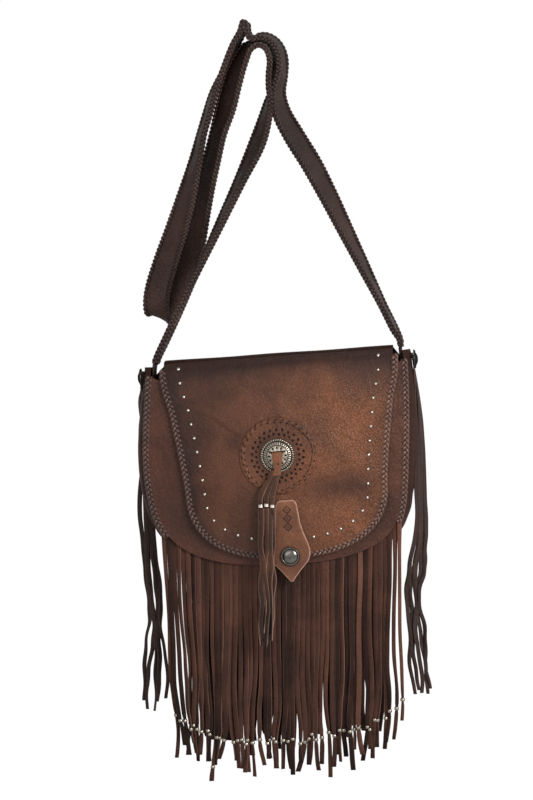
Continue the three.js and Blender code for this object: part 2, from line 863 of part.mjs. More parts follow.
// The tab's right half outline, mirrored about its middle line, and laid on the flap's face.
function closureTab() {
  const half = [
    [tabTopHalf - 3, tabTop],
    [tabTopHalf, tabTop + 4],
    [tabWaistHalf, tabWaistDepth],
    [(tabWaistHalf + tabHipHalf) / 2 - 0.5, (tabWaistDepth + tabHipDepth) / 2 + 1],
    [tabHipHalf, tabHipDepth],
    [tabSideHalf, tabSideDepth],
    [tabSideHalf * 0.45, tabSideDepth + (tabTip - tabSideDepth) * 0.52],
    [1.6, tabTip],
  ];
  const rows = half.map(([wide, depth]) =>
    [-1, -0.33, 0.33, 1].map((s) => {
      const ahead = Math.max(flapFace(tabU, -depth), flapFace(tabU, -tabHipDepth) - 2) + gap + tabThick / 2;
      return new THREE.Vector3(tabU + s * wide, -ahead, -depth);
    }),
  );
  return cut(sheet(rows, tabThick), [onSnap(bar(snapPost + gap, 20), tabFace())]);
}

function tabFace() {
  return flapFace(tabU, -snapDepth) + gap + tabThick;
}

// Puts a piece of the snap on its axis, which stands square to the flap, this far ahead of the body's middle.
function onSnap(piece, ahead) {
  const rise = flapFace(tabU, 5 - snapDepth) - flapFace(tabU, -5 - snapDepth);
  const tilt = Math.atan(rise / 10);
  const up = (tabFace() - ahead) * Math.tan(tilt);
  return piece.rotateX(tilt).translate(tabU, -ahead, up - snapDepth);
}

// The snap's cap, whose post goes through the tab and the flap's tongue into the socket behind.
function snapCap() {
  const seat = tabFace() + gap;
  const reach = seat - flapBack(tabU, -snapDepth) + gap / 2;
  const profile = [
    [0, -reach],
    [snapPost, -reach],
    [snapPost, 0],
    [snapRadius, 0],
    [snapRadius, snapHigh * 0.45],
    [snapRadius * 0.86, snapHigh * 0.8],
    [snapRadius * 0.76, snapHigh * 0.62],
    [snapRadius * 0.4, snapHigh * 0.92],
    [0, snapHigh],
  ];
  return onSnap(turned(profile, 24), seat);
}

function snapSocket() {
  const front = flapBack(tabU, -snapDepth) - gap;
  const hollow = snapNubRadius + gap;
  const profile = [
    [0, 0],
    [socketRadius, 0],
    [socketRadius, -socketHigh],
    [hollow, -socketHigh],
    [hollow, -0.4],
    [0, -0.4],
  ];
  return onSnap(turned(profile, 16), front);
}

// The snap's stud on the front panel, which the socket presses on to.
function snapStud() {
  const seat = panelFace(tabU - sway(-snapDepth), 1 - snapDepth) + gap;
  const profile = [
    [0, 0],
    [studBaseRadius, 0],
    [studBaseRadius, studBaseHigh],
    [snapNubRadius, studBaseHigh],
    [snapNubRadius, studBaseHigh + snapNubHigh],
    [0, studBaseHigh + snapNubHigh],
  ];
  return onSnap(turned(profile, 16), seat);
}

// A side concho, with its post through the tassel's head, the gusset and the strap's end.
function sideConcho(side) {
  const reach = 2 * gap + thongThick + strapInGusset + strapThick / 2;
  const profile = [
    [0, -reach],
    [sidePost, -reach],
    [sidePost, 0],
    [sideRadius, 0],
    [sideRadius, 1],
    [sideRadius * 0.86, 1.6],
    [sideRadius * 0.72, 1.5],
    [sideRadius * 0.4, sideHigh * 0.9],
    [0, sideHigh],
  ];
  return onSide(turned(profile, 16).rotateZ((side * Math.PI) / 2), side, 2 * gap + thongThick);
}

function sideScrew(side) {
  const profile = [
    [0, 0],
    [sideScrewRadius, 0],
    [sideScrewRadius * 0.8, sideScrewHigh],
    [0, sideScrewHigh],
  ];
  const screw = turned(profile, 12).rotateZ((-side * Math.PI) / 2);
  return onSide(screw, side, -(strapInGusset + strapThick / 2 + 2 * gap));
}

// A side tassel: a head under the concho, and strands that hang down outside the gusset, given by
// how far down, how far out from the gusset's side and how far back their middle line passes.
function sideTassel(side, course) {
  const faceAt = (depth) => gussetSide(side, depth) + side * (gap + thongThick / 2);
  const face = faceAt(sideDepth);
  const head = [-sideTasselHead, 0, sideTasselHead + 4].map((depth) =>
    [-1, 0, 1].map((s) => new THREE.Vector3(faceAt(sideDepth + depth), s * sideTasselHead, -sideDepth - depth)),
  );
  const bodies = [sheet(head, thongThick)];
  for (let i = 0; i < sideStrands; i++) {
    const s = (2 * i) / (sideStrands - 1) - 1;
    const places = course.map(([fallen, out, back, fan, turn], k) => {
      const layer = k ? (i % 2) * (thongThick + 0.3) : 0;
      const stretch = k === course.length - 1 ? 9 * uneven(i, side + 4) : 0;
      const at = new THREE.Vector3(face, 0, -sideDepth).addScaledVector(down, fallen + stretch);
      if (k === 0) at.x = faceAt(sideDepth + fallen);
      at.x += side * (out + layer * Math.cos(turn)) + fan * s * Math.sin(turn);
      at.y += back + fan * s * Math.cos(turn) + layer * Math.sin(turn);
      at.x += k > 3 ? 1.3 * uneven(i + k, side) : 0;
      return { at, edge: new THREE.Vector3(Math.sin(turn), Math.cos(turn), 0).multiplyScalar(sideStrandWide / 2) };
    });
    bodies.push(strip(places, thongThick));
  }
  return cut(joined(bodies), [sideHole(side, gap + thongThick / 2, 8)]);
}

const rightCourse = [
  [8, 0, 0, 4.6, 0],
  [40, 5, 0, 5, 0],
  [75, 9.5, 0, 5, 0.15],
  [130, 11.5, 0, 5, 0.4],
  [180, 11, -2, 5.5, 0.8],
  [215, 6, -3, 5, 1],
  [240, 2, -3, 6, 1.1],
  [280, 3, -2, 6, 1.2],
  [sideTasselLength, 10, 0, 8, 1.2],
];
const leftCourse = [
  [10, 0, 0, 4.6, 0],
  [24, 5.5, 9, 4, -0.3],
  [48, 6.5, 21, 4, -0.8],
  [80, 4, 31, 5, -1.3],
  [140, 1, 34, 6, -1.5],
  [200, -3, 33, 6, -1.5],
  [250, -9, 31, 7, -1.4],
  [290, -11, 30, 8, -1.4],
  [sideTasselLength, -8, 30, 11, -1.4],
];

// The strap's own route over the hook: x, y and z of its middle line, with the direction of its front edge.
// It goes from the right leg over the arch, up and down the kink beside it, down the slack loop, back up
// behind it, over the arch again under the first turn, and down the left leg.
const strapRoute = [
  [74, 0, -157, -0.5, -0.8, -0.3],
  [55.4, 0, -122, -0.62, -0.7, -0.35],
  [38, 0, -92, -0.66, -0.66, -0.3],
  [28.5, 0, -67, -0.5, -0.82, -0.2],
  [26.6, 0, -47, -0.36, -0.93, 0],
  [28.4, 0, -29, -0.28, -0.96, 0],
  [28.6, 0, -14, -0.26, -0.96, -0.1],
  [25.4, 0, -2, -0.2, -0.96, -0.18],
  [19, 0, 7.4, -0.1, -0.96, -0.24],
  [9.5, 0, 13.4, 0, -0.97, -0.22],
  [1, 0, 15, 0, -1, -0.1],
  [-6, 0, 15.2, 0, -1, 0],
  [-9.6, 0, 19.5, 0, -1, 0],
  [-10.4, 0, 25.5, 0, -1, 0],
  [-13.8, 0, 29.2, 0, -1, 0],
  [-17.2, 0, 25.5, 0, -1, 0],
  [-18.4, 0, 17, 0.05, -1, 0],
  [-23.6, 0, 1.6, 0.2, -0.97, 0],
  [-34.5, 0, -22.6, 0.3, -0.95, -0.1],
  [-44.5, 1, -46.7, 0.34, -0.93, -0.1],
  [-52, 3, -70.9, 0.38, -0.92, -0.1],
  [-57, 5, -90, 0.44, -0.89, -0.14],
  [-68, 8, -123.4, 0.56, -0.8, -0.18],
  [-78, 11, -160, 0.72, -0.64, -0.2],
  [-86, 13, -192, 0.86, -0.47, -0.2],
  [-97, 15, -227, 0.93, -0.28, -0.2],
  [-103.5, 16, -255, 0.96, -0.12, -0.25],
  [-106, 16.4, -274, 0.94, -0.04, -0.33],
  [-105, 19.5, -284.5, 0.92, 0, -0.38],
  [-102, 25.5, -288, 0.92, 0, -0.38],
  [-98.5, 31.5, -283, 0.92, 0, -0.38],
  [-94, 34, -272, 0.94, -0.1, -0.34],
  [-84, 34, -253, 0.94, -0.16, -0.3],
  [-75, 32.5, -233, 0.93, -0.28, -0.26],
  [-67, 29, -209, 0.86, -0.44, -0.22],
  [-61, 24, -179, 0.8, -0.56, -0.2],
  [-54.6, 18, -146, 0.7, -0.68, -0.18],
  [-48.4, 13, -116, 0.56, -0.8, -0.16],
  [-41, 9, -89, 0.45, -0.87, -0.12],
  [-33.6, 5.5, -62, 0.38, -0.92, -0.1],
  [-26, 2.6, -36, 0.34, -0.94, -0.1],
  [-18.6, 0.8, -15.6, 0.28, -0.96, -0.1],
  [-11.2, 0, -3.6, 0.18, -0.97, -0.16],
  [0, 0, 1.8, 0, -0.97, -0.22],
  [8, 0, -0.8, -0.12, -0.97, -0.2],
  [13, 0, -7.4, -0.22, -0.96, -0.12],
  [15.4, 0, -17, -0.28, -0.96, 0],
  [14, 0, -29, -0.28, -0.96, 0],
  [10.4, 0, -43, -0.3, -0.95, 0],
  [8.6, 0, -56, -0.36, -0.92, 0.06],
  [6.6, 0, -72, -0.48, -0.84, 0.14],
  [-0.6, 0, -102, -0.5, -0.82, 0.2],
  [-18.9, 0, -140.2, -0.5, -0.82, 0.24],
];

// The straight lower part of a leg, as shares of the way to where it goes into the gusset.
const legShares = [0.25, 0.5, 0.75, 0.92];
const legEdge = { right: [-0.24, -0.95, -0.12], left: [-0.3, -0.94, 0.14] };

function hung(u, y, v) {
  const at = new THREE.Vector3(u, y, v).applyAxisAngle(new THREE.Vector3(0, 1, 0), -lean);
  return at.add(new THREE.Vector3(hangX, 0, -hangDrop));
}

// The strap's end inside the gusset, from its tail up to where it comes out of the mouth.
function strapEnd(side) {
  const inside = [strapTail, sideDepth, gussetTop].map((depth) => [
    gussetSide(side, depth) - side * strapInGusset,
    -depth,
  ]);
  return [...inside, [side * strapExitHalf, 4]].map(([u, v]) => ({ at: hung(u, 0, v), edge: new THREE.Vector3(0, -1, 0) }));
}

function strapPlaces() {
  const middle = strapRoute.map(([x, y, z, ...edge]) => ({
    at: new THREE.Vector3(x, y, z),
    edge: new THREE.Vector3(...edge),
  }));
  const leg = (end, shoulder, edge) =>
    legShares.map((share) => ({
      at: shoulder.at.clone().lerp(end[3].at, share),
      edge: shoulder.edge.clone().normalize().lerp(new THREE.Vector3(...edge), Math.min(1, share * 1.3)),
    }));
  const right = strapEnd(1);
  const left = strapEnd(-1);
  const rightLeg = leg(right, middle[0], legEdge.right).reverse();
  const leftLeg = leg(left, middle[middle.length - 1], legEdge.left);
  return [...right, ...rightLeg, ...middle, ...leftLeg, ...left.reverse()];
}

function strap() {
  const chosen = strapPlaces();
  const route = new THREE.CatmullRomCurve3(chosen.map(({ at }) => at), false, "centripetal");
  const edges = new THREE.CatmullRomCurve3(chosen.map(({ edge }) => edge.normalize()), false, "centripetal");
  const places = [];
  const spans = chosen.length - 1;
  for (let i = 0; i < spans; i++) {
    const pieces = Math.max(1, Math.round(chosen[i].at.distanceTo(chosen[i + 1].at) / strapStep));
    for (let k = 0; k < pieces; k++) {
      const share = (i + k / pieces) / spans;
      places.push({ at: route.getPoint(share), edge: edges.getPoint(share).setLength(strapWide / 2) });
    }
  }
  const end = chosen[spans];
  places.push({ at: end.at, edge: end.edge.clone().setLength(strapWide / 2) });
  const holes = [-1, 1].map((side) =>
    sideHole(side, -strapInGusset, 10).rotateY(-lean).translate(hangX, 0, -hangDrop),
  );
  return cut(strip(places, strapThick), holes);
}

const bag = new THREE.Group();
const body = new THREE.Group();
body.position.set(hangX, 0, -hangDrop);
body.rotation.y = -lean;
bag.add(body);

function add(group, name, geometry, material) {
  const mesh = new THREE.Mesh(geometry, material);
  mesh.name = name;
  group.add(mesh);
  return mesh;
}

add(bag, "strap", strap(), leather(colours.strap));
add(body, "back_panel", backPanel(), leather(colours.dark));
add(body, "front_panel", frontPanel(), leather(colours.hide));
add(body, "gusset", gusset(), leather(colours.dark));
for (const [name, side] of [["left", -1], ["right", 1]]) {
  add(body, `front_lacing_${name}`, seamLacing(side, -1), leather(colours.lace));
  add(body, `back_lacing_${name}`, seamLacing(side, 1), leather(colours.lace));
  add(body, `flap_lacing_${name}`, flapLacing(side), leather(colours.lace));
  add(body, `side_concho_${name}`, sideConcho(side), metal(colours.nickel));
  add(body, `side_screw_${name}`, sideScrew(side), metal(colours.nickel));
  const course = side > 0 ? rightCourse : leftCourse;
  add(body, `${name}_tassel`, sideTassel(side, course), leather(colours.fringe));
}
add(body, "front_fringe", fringe(-1, strandCount, strandLength, true), leather(colours.fringe));
add(body, "back_fringe", fringe(1, backStrandCount, backStrandLength, false), leather(colours.fringe));
add(body, "flap", flap(), leather(colours.hide));
add(body, "rosette", rosette(), leather(colours.hide));
add(body, "concho", concho(), metal(colours.silver));
add(body, "centre_tassel", centreTassel(), leather(colours.tab));
for (const [i, s] of [-1, 0, 1].entries()) {
  add(body, `crimp_${i + 1}`, crimp(s), metal(colours.silver));
}
add(body, "closure_tab", closureTab(), leather(colours.tab));
add(body, "snap_cap", snapCap(), metal(colours.nickel));
add(body, "snap_socket", snapSocket(), metal(colours.nickel));
add(body, "snap_stud", snapStud(), metal(colours.nickel));
for (const [name, side, count] of [["left", -1, studsLeft], ["right", 1, studsRight]]) {
  studPlaces(side, count).forEach(({ u, v }, i) => {
    const seat = flapFace(u, v) + 2 * gap;
    add(body, `stud_${name}_${i + 1}`, stud(), metal(colours.silver)).position.set(u, -seat, v);
  });
}

export default bag;
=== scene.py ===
import json
import math

import bpy
import numpy as np
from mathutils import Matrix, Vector


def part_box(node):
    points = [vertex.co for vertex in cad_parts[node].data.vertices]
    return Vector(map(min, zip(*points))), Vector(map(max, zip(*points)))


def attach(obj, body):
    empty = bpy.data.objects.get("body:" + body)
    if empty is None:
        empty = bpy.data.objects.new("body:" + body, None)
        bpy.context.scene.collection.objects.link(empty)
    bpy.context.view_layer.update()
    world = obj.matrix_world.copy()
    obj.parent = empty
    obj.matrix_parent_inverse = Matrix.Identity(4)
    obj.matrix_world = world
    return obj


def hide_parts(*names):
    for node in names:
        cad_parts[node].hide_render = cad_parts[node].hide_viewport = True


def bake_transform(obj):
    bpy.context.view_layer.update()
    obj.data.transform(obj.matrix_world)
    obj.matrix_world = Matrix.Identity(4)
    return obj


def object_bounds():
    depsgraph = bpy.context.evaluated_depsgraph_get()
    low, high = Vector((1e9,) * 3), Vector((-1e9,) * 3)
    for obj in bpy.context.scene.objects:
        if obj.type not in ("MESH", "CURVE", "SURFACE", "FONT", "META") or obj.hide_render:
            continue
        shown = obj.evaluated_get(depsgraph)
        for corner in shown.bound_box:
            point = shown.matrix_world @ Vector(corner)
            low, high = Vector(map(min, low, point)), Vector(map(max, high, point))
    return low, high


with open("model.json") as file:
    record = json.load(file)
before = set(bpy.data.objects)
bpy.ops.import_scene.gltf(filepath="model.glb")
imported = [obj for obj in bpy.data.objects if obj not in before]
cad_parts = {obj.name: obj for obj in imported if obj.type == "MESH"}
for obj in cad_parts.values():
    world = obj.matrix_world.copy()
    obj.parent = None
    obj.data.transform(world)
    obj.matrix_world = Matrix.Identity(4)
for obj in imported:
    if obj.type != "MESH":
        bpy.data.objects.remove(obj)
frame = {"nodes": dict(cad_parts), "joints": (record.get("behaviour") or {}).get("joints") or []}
cad_low, cad_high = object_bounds()

# The view: the bag hangs free in front of white and is seen almost straight on, from a little
# to its right, by a long lens. One picture is 800 pixels high and shows 840 mm of the bag.
MM = 0.001
PICTURE_HIGH, MM_PER_PIXEL = 800, 1.05
SHOWN_HIGH = PICTURE_HIGH * MM_PER_PIXEL * MM
AIM = Vector((0.0085, 0, -0.370))
FAR = 3.2
VIEW_RIGHT, VIEW_UP = math.radians(4), math.radians(1)
camera = bpy.data.objects.new("camera", bpy.data.cameras.new("camera"))
bpy.context.scene.collection.objects.link(camera)
bpy.context.scene.camera = camera
camera.data.lens = camera.data.sensor_width * FAR / SHOWN_HIGH
toward_camera = Vector(
    (math.sin(VIEW_RIGHT) * math.cos(VIEW_UP), -math.cos(VIEW_RIGHT) * math.cos(VIEW_UP), math.sin(VIEW_UP))
)
camera.location = AIM + FAR * toward_camera
camera.rotation_euler = (-toward_camera).to_track_quat("-Z", "Y").to_euler()
bpy.context.scene.view_settings.view_transform = "Standard"


class Signal:
    """An output of a node; sums written on it add Math nodes to its tree."""

    def __init__(self, tree, socket):
        self.tree = tree
        self.socket = socket

    def node(self, kind, settings=None, sockets=None, out=0):
        made = self.tree.nodes.new(kind)
        for name, value in (settings or {}).items():
            if name == "stops":
                ramp = made.color_ramp.elements
                while len(ramp) < len(value):
                    ramp.new(0.5)
                for stop, (at, colour) in zip(ramp, value):
                    stop.position = at
                    stop.color = (*colour, 1)
            else:
                setattr(made, name, value)
        for name, value in (sockets or {}).items():
            if isinstance(value, Signal):
                self.tree.links.new(value.socket, made.inputs[name])
            else:
                made.inputs[name].default_value = value
        return Signal(self.tree, made.outputs[out])

    def sum(self, operation, first, second):
        return self.node("ShaderNodeMath", {"operation": operation}, {0: first, 1: second})

    def __add__(self, other):
        return self.sum("ADD", self, other)

    def __mul__(self, other):
        return self.sum("MULTIPLY", self, other)

    def __sub__(self, other):
        return self.sum("SUBTRACT", self, other)

    def __rsub__(self, other):
        return self.sum("SUBTRACT", other, self)

    __radd__ = __add__
    __rmul__ = __mul__

    def between(self, low, high):
        return self.node(
            "ShaderNodeMapRange", {"interpolation_type": "SMOOTHSTEP"}, {"Value": self, 1: low, 2: high}
        )

    def blend(self, first, second, how="MIX"):
        first, second = (c if isinstance(c, Signal) else (*c, 1) for c in (first, second))
        settings = {"data_type": "RGBA", "blend_type": how, "clamp_factor": True}
        return self.node("ShaderNodeMix", settings, {0: self, 6: first, 7: second}, 2)


# The stage: white all round for the camera and for what the metal mirrors, a white floor well
# under the fringe, a large soft lamp at the right in front and a weaker one at the left.
AMBIENT = 0.52
world = bpy.data.worlds.new("white")
bpy.context.scene.world = world
world.use_nodes = True
sky = world.node_tree.nodes["Background"]
paths = world.node_tree.nodes.new("ShaderNodeLightPath").outputs
seen, mirrored, through = (
    Signal(world.node_tree, paths[f"Is {kind} Ray"]) for kind in ("Camera", "Glossy", "Transmission")
)
direct = seen + mirrored + through
strength = direct.node("ShaderNodeClamp", None, {"Value": direct}) * (1 - AMBIENT) + AMBIENT
world.node_tree.links.new(strength.socket, sky.inputs["Strength"])
sky.inputs["Color"].default_value = (1, 1, 1, 1)

FLOOR_HALF = 4.0
FLOOR_UNDER = 0.2
FLOOR_GLOW, FLOOR_GLOW_SHARE = 1.07, 0.92
floor_z = cad_low.z - FLOOR_UNDER
corners = [(x * FLOOR_HALF, y * FLOOR_HALF, floor_z) for x, y in ((-1, -1), (1, -1), (1, 1), (-1, 1))]
floor_mesh = bpy.data.meshes.new("floor")
floor_mesh.from_pydata(corners, [], [(0, 1, 2, 3)])
floor = bpy.data.objects.new("floor", floor_mesh)
bpy.context.scene.collection.objects.link(floor)
floor_white = bpy.data.materials.new("floor_white")
floor_white.use_nodes = True
floor_tree = floor_white.node_tree
floor_tree.nodes.remove(floor_tree.nodes["Principled BSDF"])
shown = Signal(floor_tree, floor_tree.nodes.new("ShaderNodeLightPath").outputs["Is Camera Ray"])
lit = shown.node("ShaderNodeBsdfDiffuse", None, {"Color": (0.9, 0.9, 0.9, 1)})
glowing = shown.node("ShaderNodeEmission", None, {"Color": (1, 1, 1, 1), "Strength": FLOOR_GLOW})
surface = shown.node("ShaderNodeMixShader", None, {0: shown * FLOOR_GLOW_SHARE, 1: lit, 2: glowing})
floor_tree.links.new(surface.socket, floor_tree.nodes["Material Output"].inputs["Surface"])
floor.data.materials.append(floor_white)

for name, place, size, power in (
    ("key", (1.5, -1.6, 0.4), 0.7, 40),
    ("fill", (-0.5, -2.1, 0.1), 1.0, 5),
):
    lamp = bpy.data.objects.new(name, bpy.data.lights.new(name, "AREA"))
    lamp.data.size = size
    lamp.data.energy = power
    lamp.location = place
    lamp.rotation_euler = (AIM - lamp.location).to_track_quat("-Z", "Y").to_euler()
    bpy.context.scene.collection.objects.link(lamp)


# The hide: one thick, soft piece of pebbled leather that runs up the bag's back, rolls over its
# top edge and hangs down its front as the flap. Places on it are in millimetres across (u), back
# (y) and up (v) from the middle of its top edge, in the frame that leans with the bag.
BODY_HIGH, TOP_HALF = 223.4, 133
MOUTH_DEPTH, BOTTOM_DEEPER, MIDDLE_DEEPER = 35, 1, 10.5
FOLD_DOWN, FOLD_AHEAD, ROLL_DOWN = 5, 20.1, 15
HIDE_THICK, PANEL_THICK = 2.6, 2.4
CROWN = 5
SWAY_TOP, SWAY_MORE = 2, 8
FLAP_HIGH, FLAP_IN, FLAP_OFF_TOP, FLAP_OFF_MORE = 214.4, 4.6, 1.4, 2.4
FLAP_CORNER, BODY_CORNER = 0.68, 0.66
SEAM = (
    ((TOP_HALF, 0), (137, 50), (139, 110), (132.5, 150)),
    ((132.5, 150), (127.5, 186.7), (112, BODY_HIGH), (0, BODY_HIGH)),
)
FLAP_EDGE = (
    ((124.5, FOLD_DOWN), (125.5, 34.8), (118.2, 43.2), (115.8, 60)),
    ((115.8, 60), (112.5, 84), (106, 118), (105, 146)),
    ((105, 146), (104, 180.2), (80, FLAP_HIGH), (0, FLAP_HIGH)),
)
fold = frame["joints"][0]
ALONG = -np.array(fold["axis"])
UPWARD = np.array((-ALONG[2], 0, ALONG[0]))
TOP_MIDDLE = np.array((fold["pos_m"][0], 0, fold["pos_m"][2])) + FOLD_DOWN * MM * UPWARD


def hung(u, y, v):
    """Places in the bag's own millimetres, as places in the row's metres."""
    u, y, v = np.broadcast_arrays(u, y, v)
    places = TOP_MIDDLE + MM * (u[..., None] * ALONG + v[..., None] * UPWARD)
    places[..., 1] += MM * y
    return places


def half_outline(spans, count=900):
    """Evenly spaced points down the right side of a piece and along its bottom to the middle."""
    t = np.linspace(0, 1, 300)[:, None]
    pieces = []
    for a, b, c, d in np.array(spans, float):
        pieces.append((1 - t) ** 3 * a + 3 * (1 - t) ** 2 * t * b + 3 * (1 - t) * t * t * c + t**3 * d)
    line = np.concatenate(pieces) * (1, -1)
    walked = np.concatenate([[0], np.cumsum(np.linalg.norm(np.diff(line, axis=0), axis=1))])
    even = np.linspace(0, walked[-1], count)
    return np.stack([np.interp(even, walked, line[:, k]) for k in (0, 1)], 1)


seam_line, flap_line = half_outline(SEAM), half_outline(FLAP_EDGE)


def beside(line, share, outward, side):
    """Places beside a half outline, and the outward direction at each; side is -1 on the left."""
    way = np.gradient(line, axis=0)
    out = np.stack([-way[:, 1], way[:, 0]], 1) / np.linalg.norm(way, axis=1)[:, None]
    places = line + out * outward
    at = np.linspace(0, 1, len(line))
    u, v, out_u, out_v = (np.interp(share, at, part) for part in (*places.T, *out.T))
    return side * u, v, side * out_u, out_v


def share_at(line, depth):
    """How far along a half outline it is first as low as a depth."""
    return np.interp(depth, -line[:, 1], np.linspace(0, 1, len(line)))


def down_share(v):
    """0 at the body's top edge and 1 at its bottom."""
    return np.clip(-v / BODY_HIGH, 0, 1)


def sway(v):
    """How far the weight inside pulls the bag to the left of its middle line."""
    return -SWAY_TOP - SWAY_MORE * np.sin(np.pi * down_share(v) ** 1.4)


def half_depth(v):
    """Half the bag's inner depth, front to back."""
    deeper = BOTTOM_DEEPER * down_share(v) + MIDDLE_DEEPER * np.sin(np.pi * down_share(v))
    return (MOUTH_DEPTH + deeper) / 2


def panel_face(u, v):
    """How far the outer face of the front or back is from the bag's middle plane."""
    crown = CROWN * np.maximum(0, 1 - (u / TOP_HALF) ** 2) * np.sin(np.pi * down_share(v))
    return half_depth(v) + PANEL_THICK + crown


def mound(x, at, wide, power=2):
    """1 at a place, falling smoothly to 0 on both sides of it."""
    return np.exp(-(((x - at) / wide) ** power))


def eased(share):
    return share * share * (3 - 2 * share)


def slack(u, v):
    """How the soft leather stands in and out of its mean face, in shallow rolls and a few creases."""
    rolls = 0.8 * np.sin(u / 31 + 0.6 + v / 90) * np.cos(v / 37 + 0.3)
    rolls = rolls + 0.5 * np.sin((u + 1.6 * v) / 23 + 1.1)
    crease = np.zeros_like(u * v)
    for cu, cv, turn, reach, deep in (
        (52, -132, 0.35, 34, 0.9),
        (70, -118, 0.2, 26, 0.6),
        (-62, -72, -0.5, 30, 0.8),
        (-78, -150, 0.9, 26, 0.5),
        (20, -36, -0.15, 40, 0.5),
        (-20, -168, 0.25, 30, 0.6),
    ):
        s = (u - cu) * math.cos(turn) + (v - cv) * math.sin(turn)
        t = (v - cv) * math.cos(turn) - (u - cu) * math.sin(turn) + 2.5 * np.sin(s / 11)
        crease += deep * mound(s, 0, reach) * (mound(t, 3, 3.2) - mound(t, 0, 2.2))
    return (rolls + crease) * np.clip((-v - 8) / 40, 0, 1)


def flap_face(u, v):
    """How far ahead of the bag's middle the flap's outer face is."""
    share = eased(np.clip((-v - FOLD_DOWN) / 10, 0, 1))
    over = panel_face(u - sway(v), v) + FLAP_OFF_TOP + FLAP_OFF_MORE * down_share(v)
    return (FOLD_AHEAD - HIDE_THICK / 2) * (1 - share) + over * share + HIDE_THICK + slack(u, v)


def patch(line, corner, outward, top, columns, rows):
    """A net of places inside a half outline and its mirror, under a top line of s from -1 to 1.

    Corner is the share of the outline at which the net's sides end and its bottom row begins.
    """
    s = np.linspace(0, 1, columns + 1)[None, :, None]
    t = np.linspace(0, 1, rows + 1)[:, None, None]
    sides = []
    for side in (-1, 1):
        share = share_at(line, -top(side)) * (1 - t[:, 0, 0]) + corner * t[:, 0, 0]
        sides.append(np.stack(beside(line, share, outward, side)[:2], 1)[:, None])
    left, right = sides
    along = 2 * s[0, :, 0] - 1
    under = beside(line, 1 + (corner - 1) * np.abs(along), outward, 1)
    bottom = np.stack([np.sign(along) * under[0], under[1]], 1)[None]
    across = left[0, 0, 0] + (right[0, 0, 0] - left[0, 0, 0]) * s[0, :, 0]
    upper = np.stack([across, top(along) + 0 * along], 1)[None]
    net = upper * (1 - t) + bottom * t + left * (1 - s) + right * s
    for row, weight in ((upper, 1 - t), (bottom, t)):
        net -= weight * ((1 - s) * row[:, :1] + s * row[:, -1:])
    return net[..., 0], net[..., 1]


def mesh_piece(name, places, faces, finish):
    mesh = bpy.data.meshes.new(name)
    mesh.from_pydata(np.asarray(places).reshape(-1, 3).tolist(), [], faces)
    mesh.polygons.foreach_set("use_smooth", [True] * len(mesh.polygons))
    piece = bpy.data.objects.new(name, mesh)
    bpy.context.scene.collection.objects.link(piece)
    mesh.materials.append(finish)
    return piece


def cut_sheet(name, face, thick, facing, finish, edge_finish=None):
    """Leather of one thickness behind a net of places on its outer face.

    In the middle of its first row that face looks towards facing. A second finish is for its cut rim.
    """
    rows, columns = face.shape[:2]
    normal = np.cross(np.gradient(face, axis=1), np.gradient(face, axis=0))
    normal /= np.linalg.norm(normal, axis=2)[..., None]
    flipped = normal[0, columns // 2] @ np.array(facing) < 0
    if flipped:
        normal = -normal
    places = np.concatenate([face.reshape(-1, 3), (face - normal * thick * MM).reshape(-1, 3)])
    index = np.arange(rows * columns).reshape(rows, columns)
    a, b, c, d = (part.ravel() for part in (index[:-1, :-1], index[:-1, 1:], index[1:, 1:], index[1:, :-1]))
    outer = np.stack([a, b, c, d], 1)
    inner = np.stack([d, c, b, a], 1) + rows * columns
    ring = np.concatenate([index[0, :-1], index[:-1, -1], index[-1, :0:-1], index[:0:-1, 0]])
    after = np.roll(ring, -1)
    rim = np.stack([after, ring, ring + rows * columns, after + rows * columns], 1)
    faces = np.concatenate([outer, inner, rim])
    if flipped:
        faces = faces[:, ::-1]
    piece = mesh_piece(name, places, faces.tolist(), finish)
    if edge_finish:
        piece.data.materials.append(edge_finish)
        which = [0] * (len(outer) + len(inner)) + [1] * len(rim)
        piece.data.polygons.foreach_set("material_index", which)
    piece.data.set_sharp_from_angle(angle=math.radians(50))
    return piece


def paint(piece, **values):
    """Writes how far a tone goes at each place of a piece, which its finish reads."""
    for name, value in values.items():
        whole = np.resize(np.ravel(value), len(piece.data.vertices))
        piece.data.attributes.new(name, "FLOAT", "POINT").data.foreach_set("value", whole.astype(np.float32))


def finish_named(name):
    """An empty finish: its material, the shader that ends it and a first signal, its place on the bag."""
    material = bpy.data.materials.new(name)
    material.use_nodes = True
    tree = material.node_tree
    place = Signal(tree, tree.nodes.new("ShaderNodeTexCoord").outputs["Object"])
    return material, tree.nodes["Principled BSDF"], place


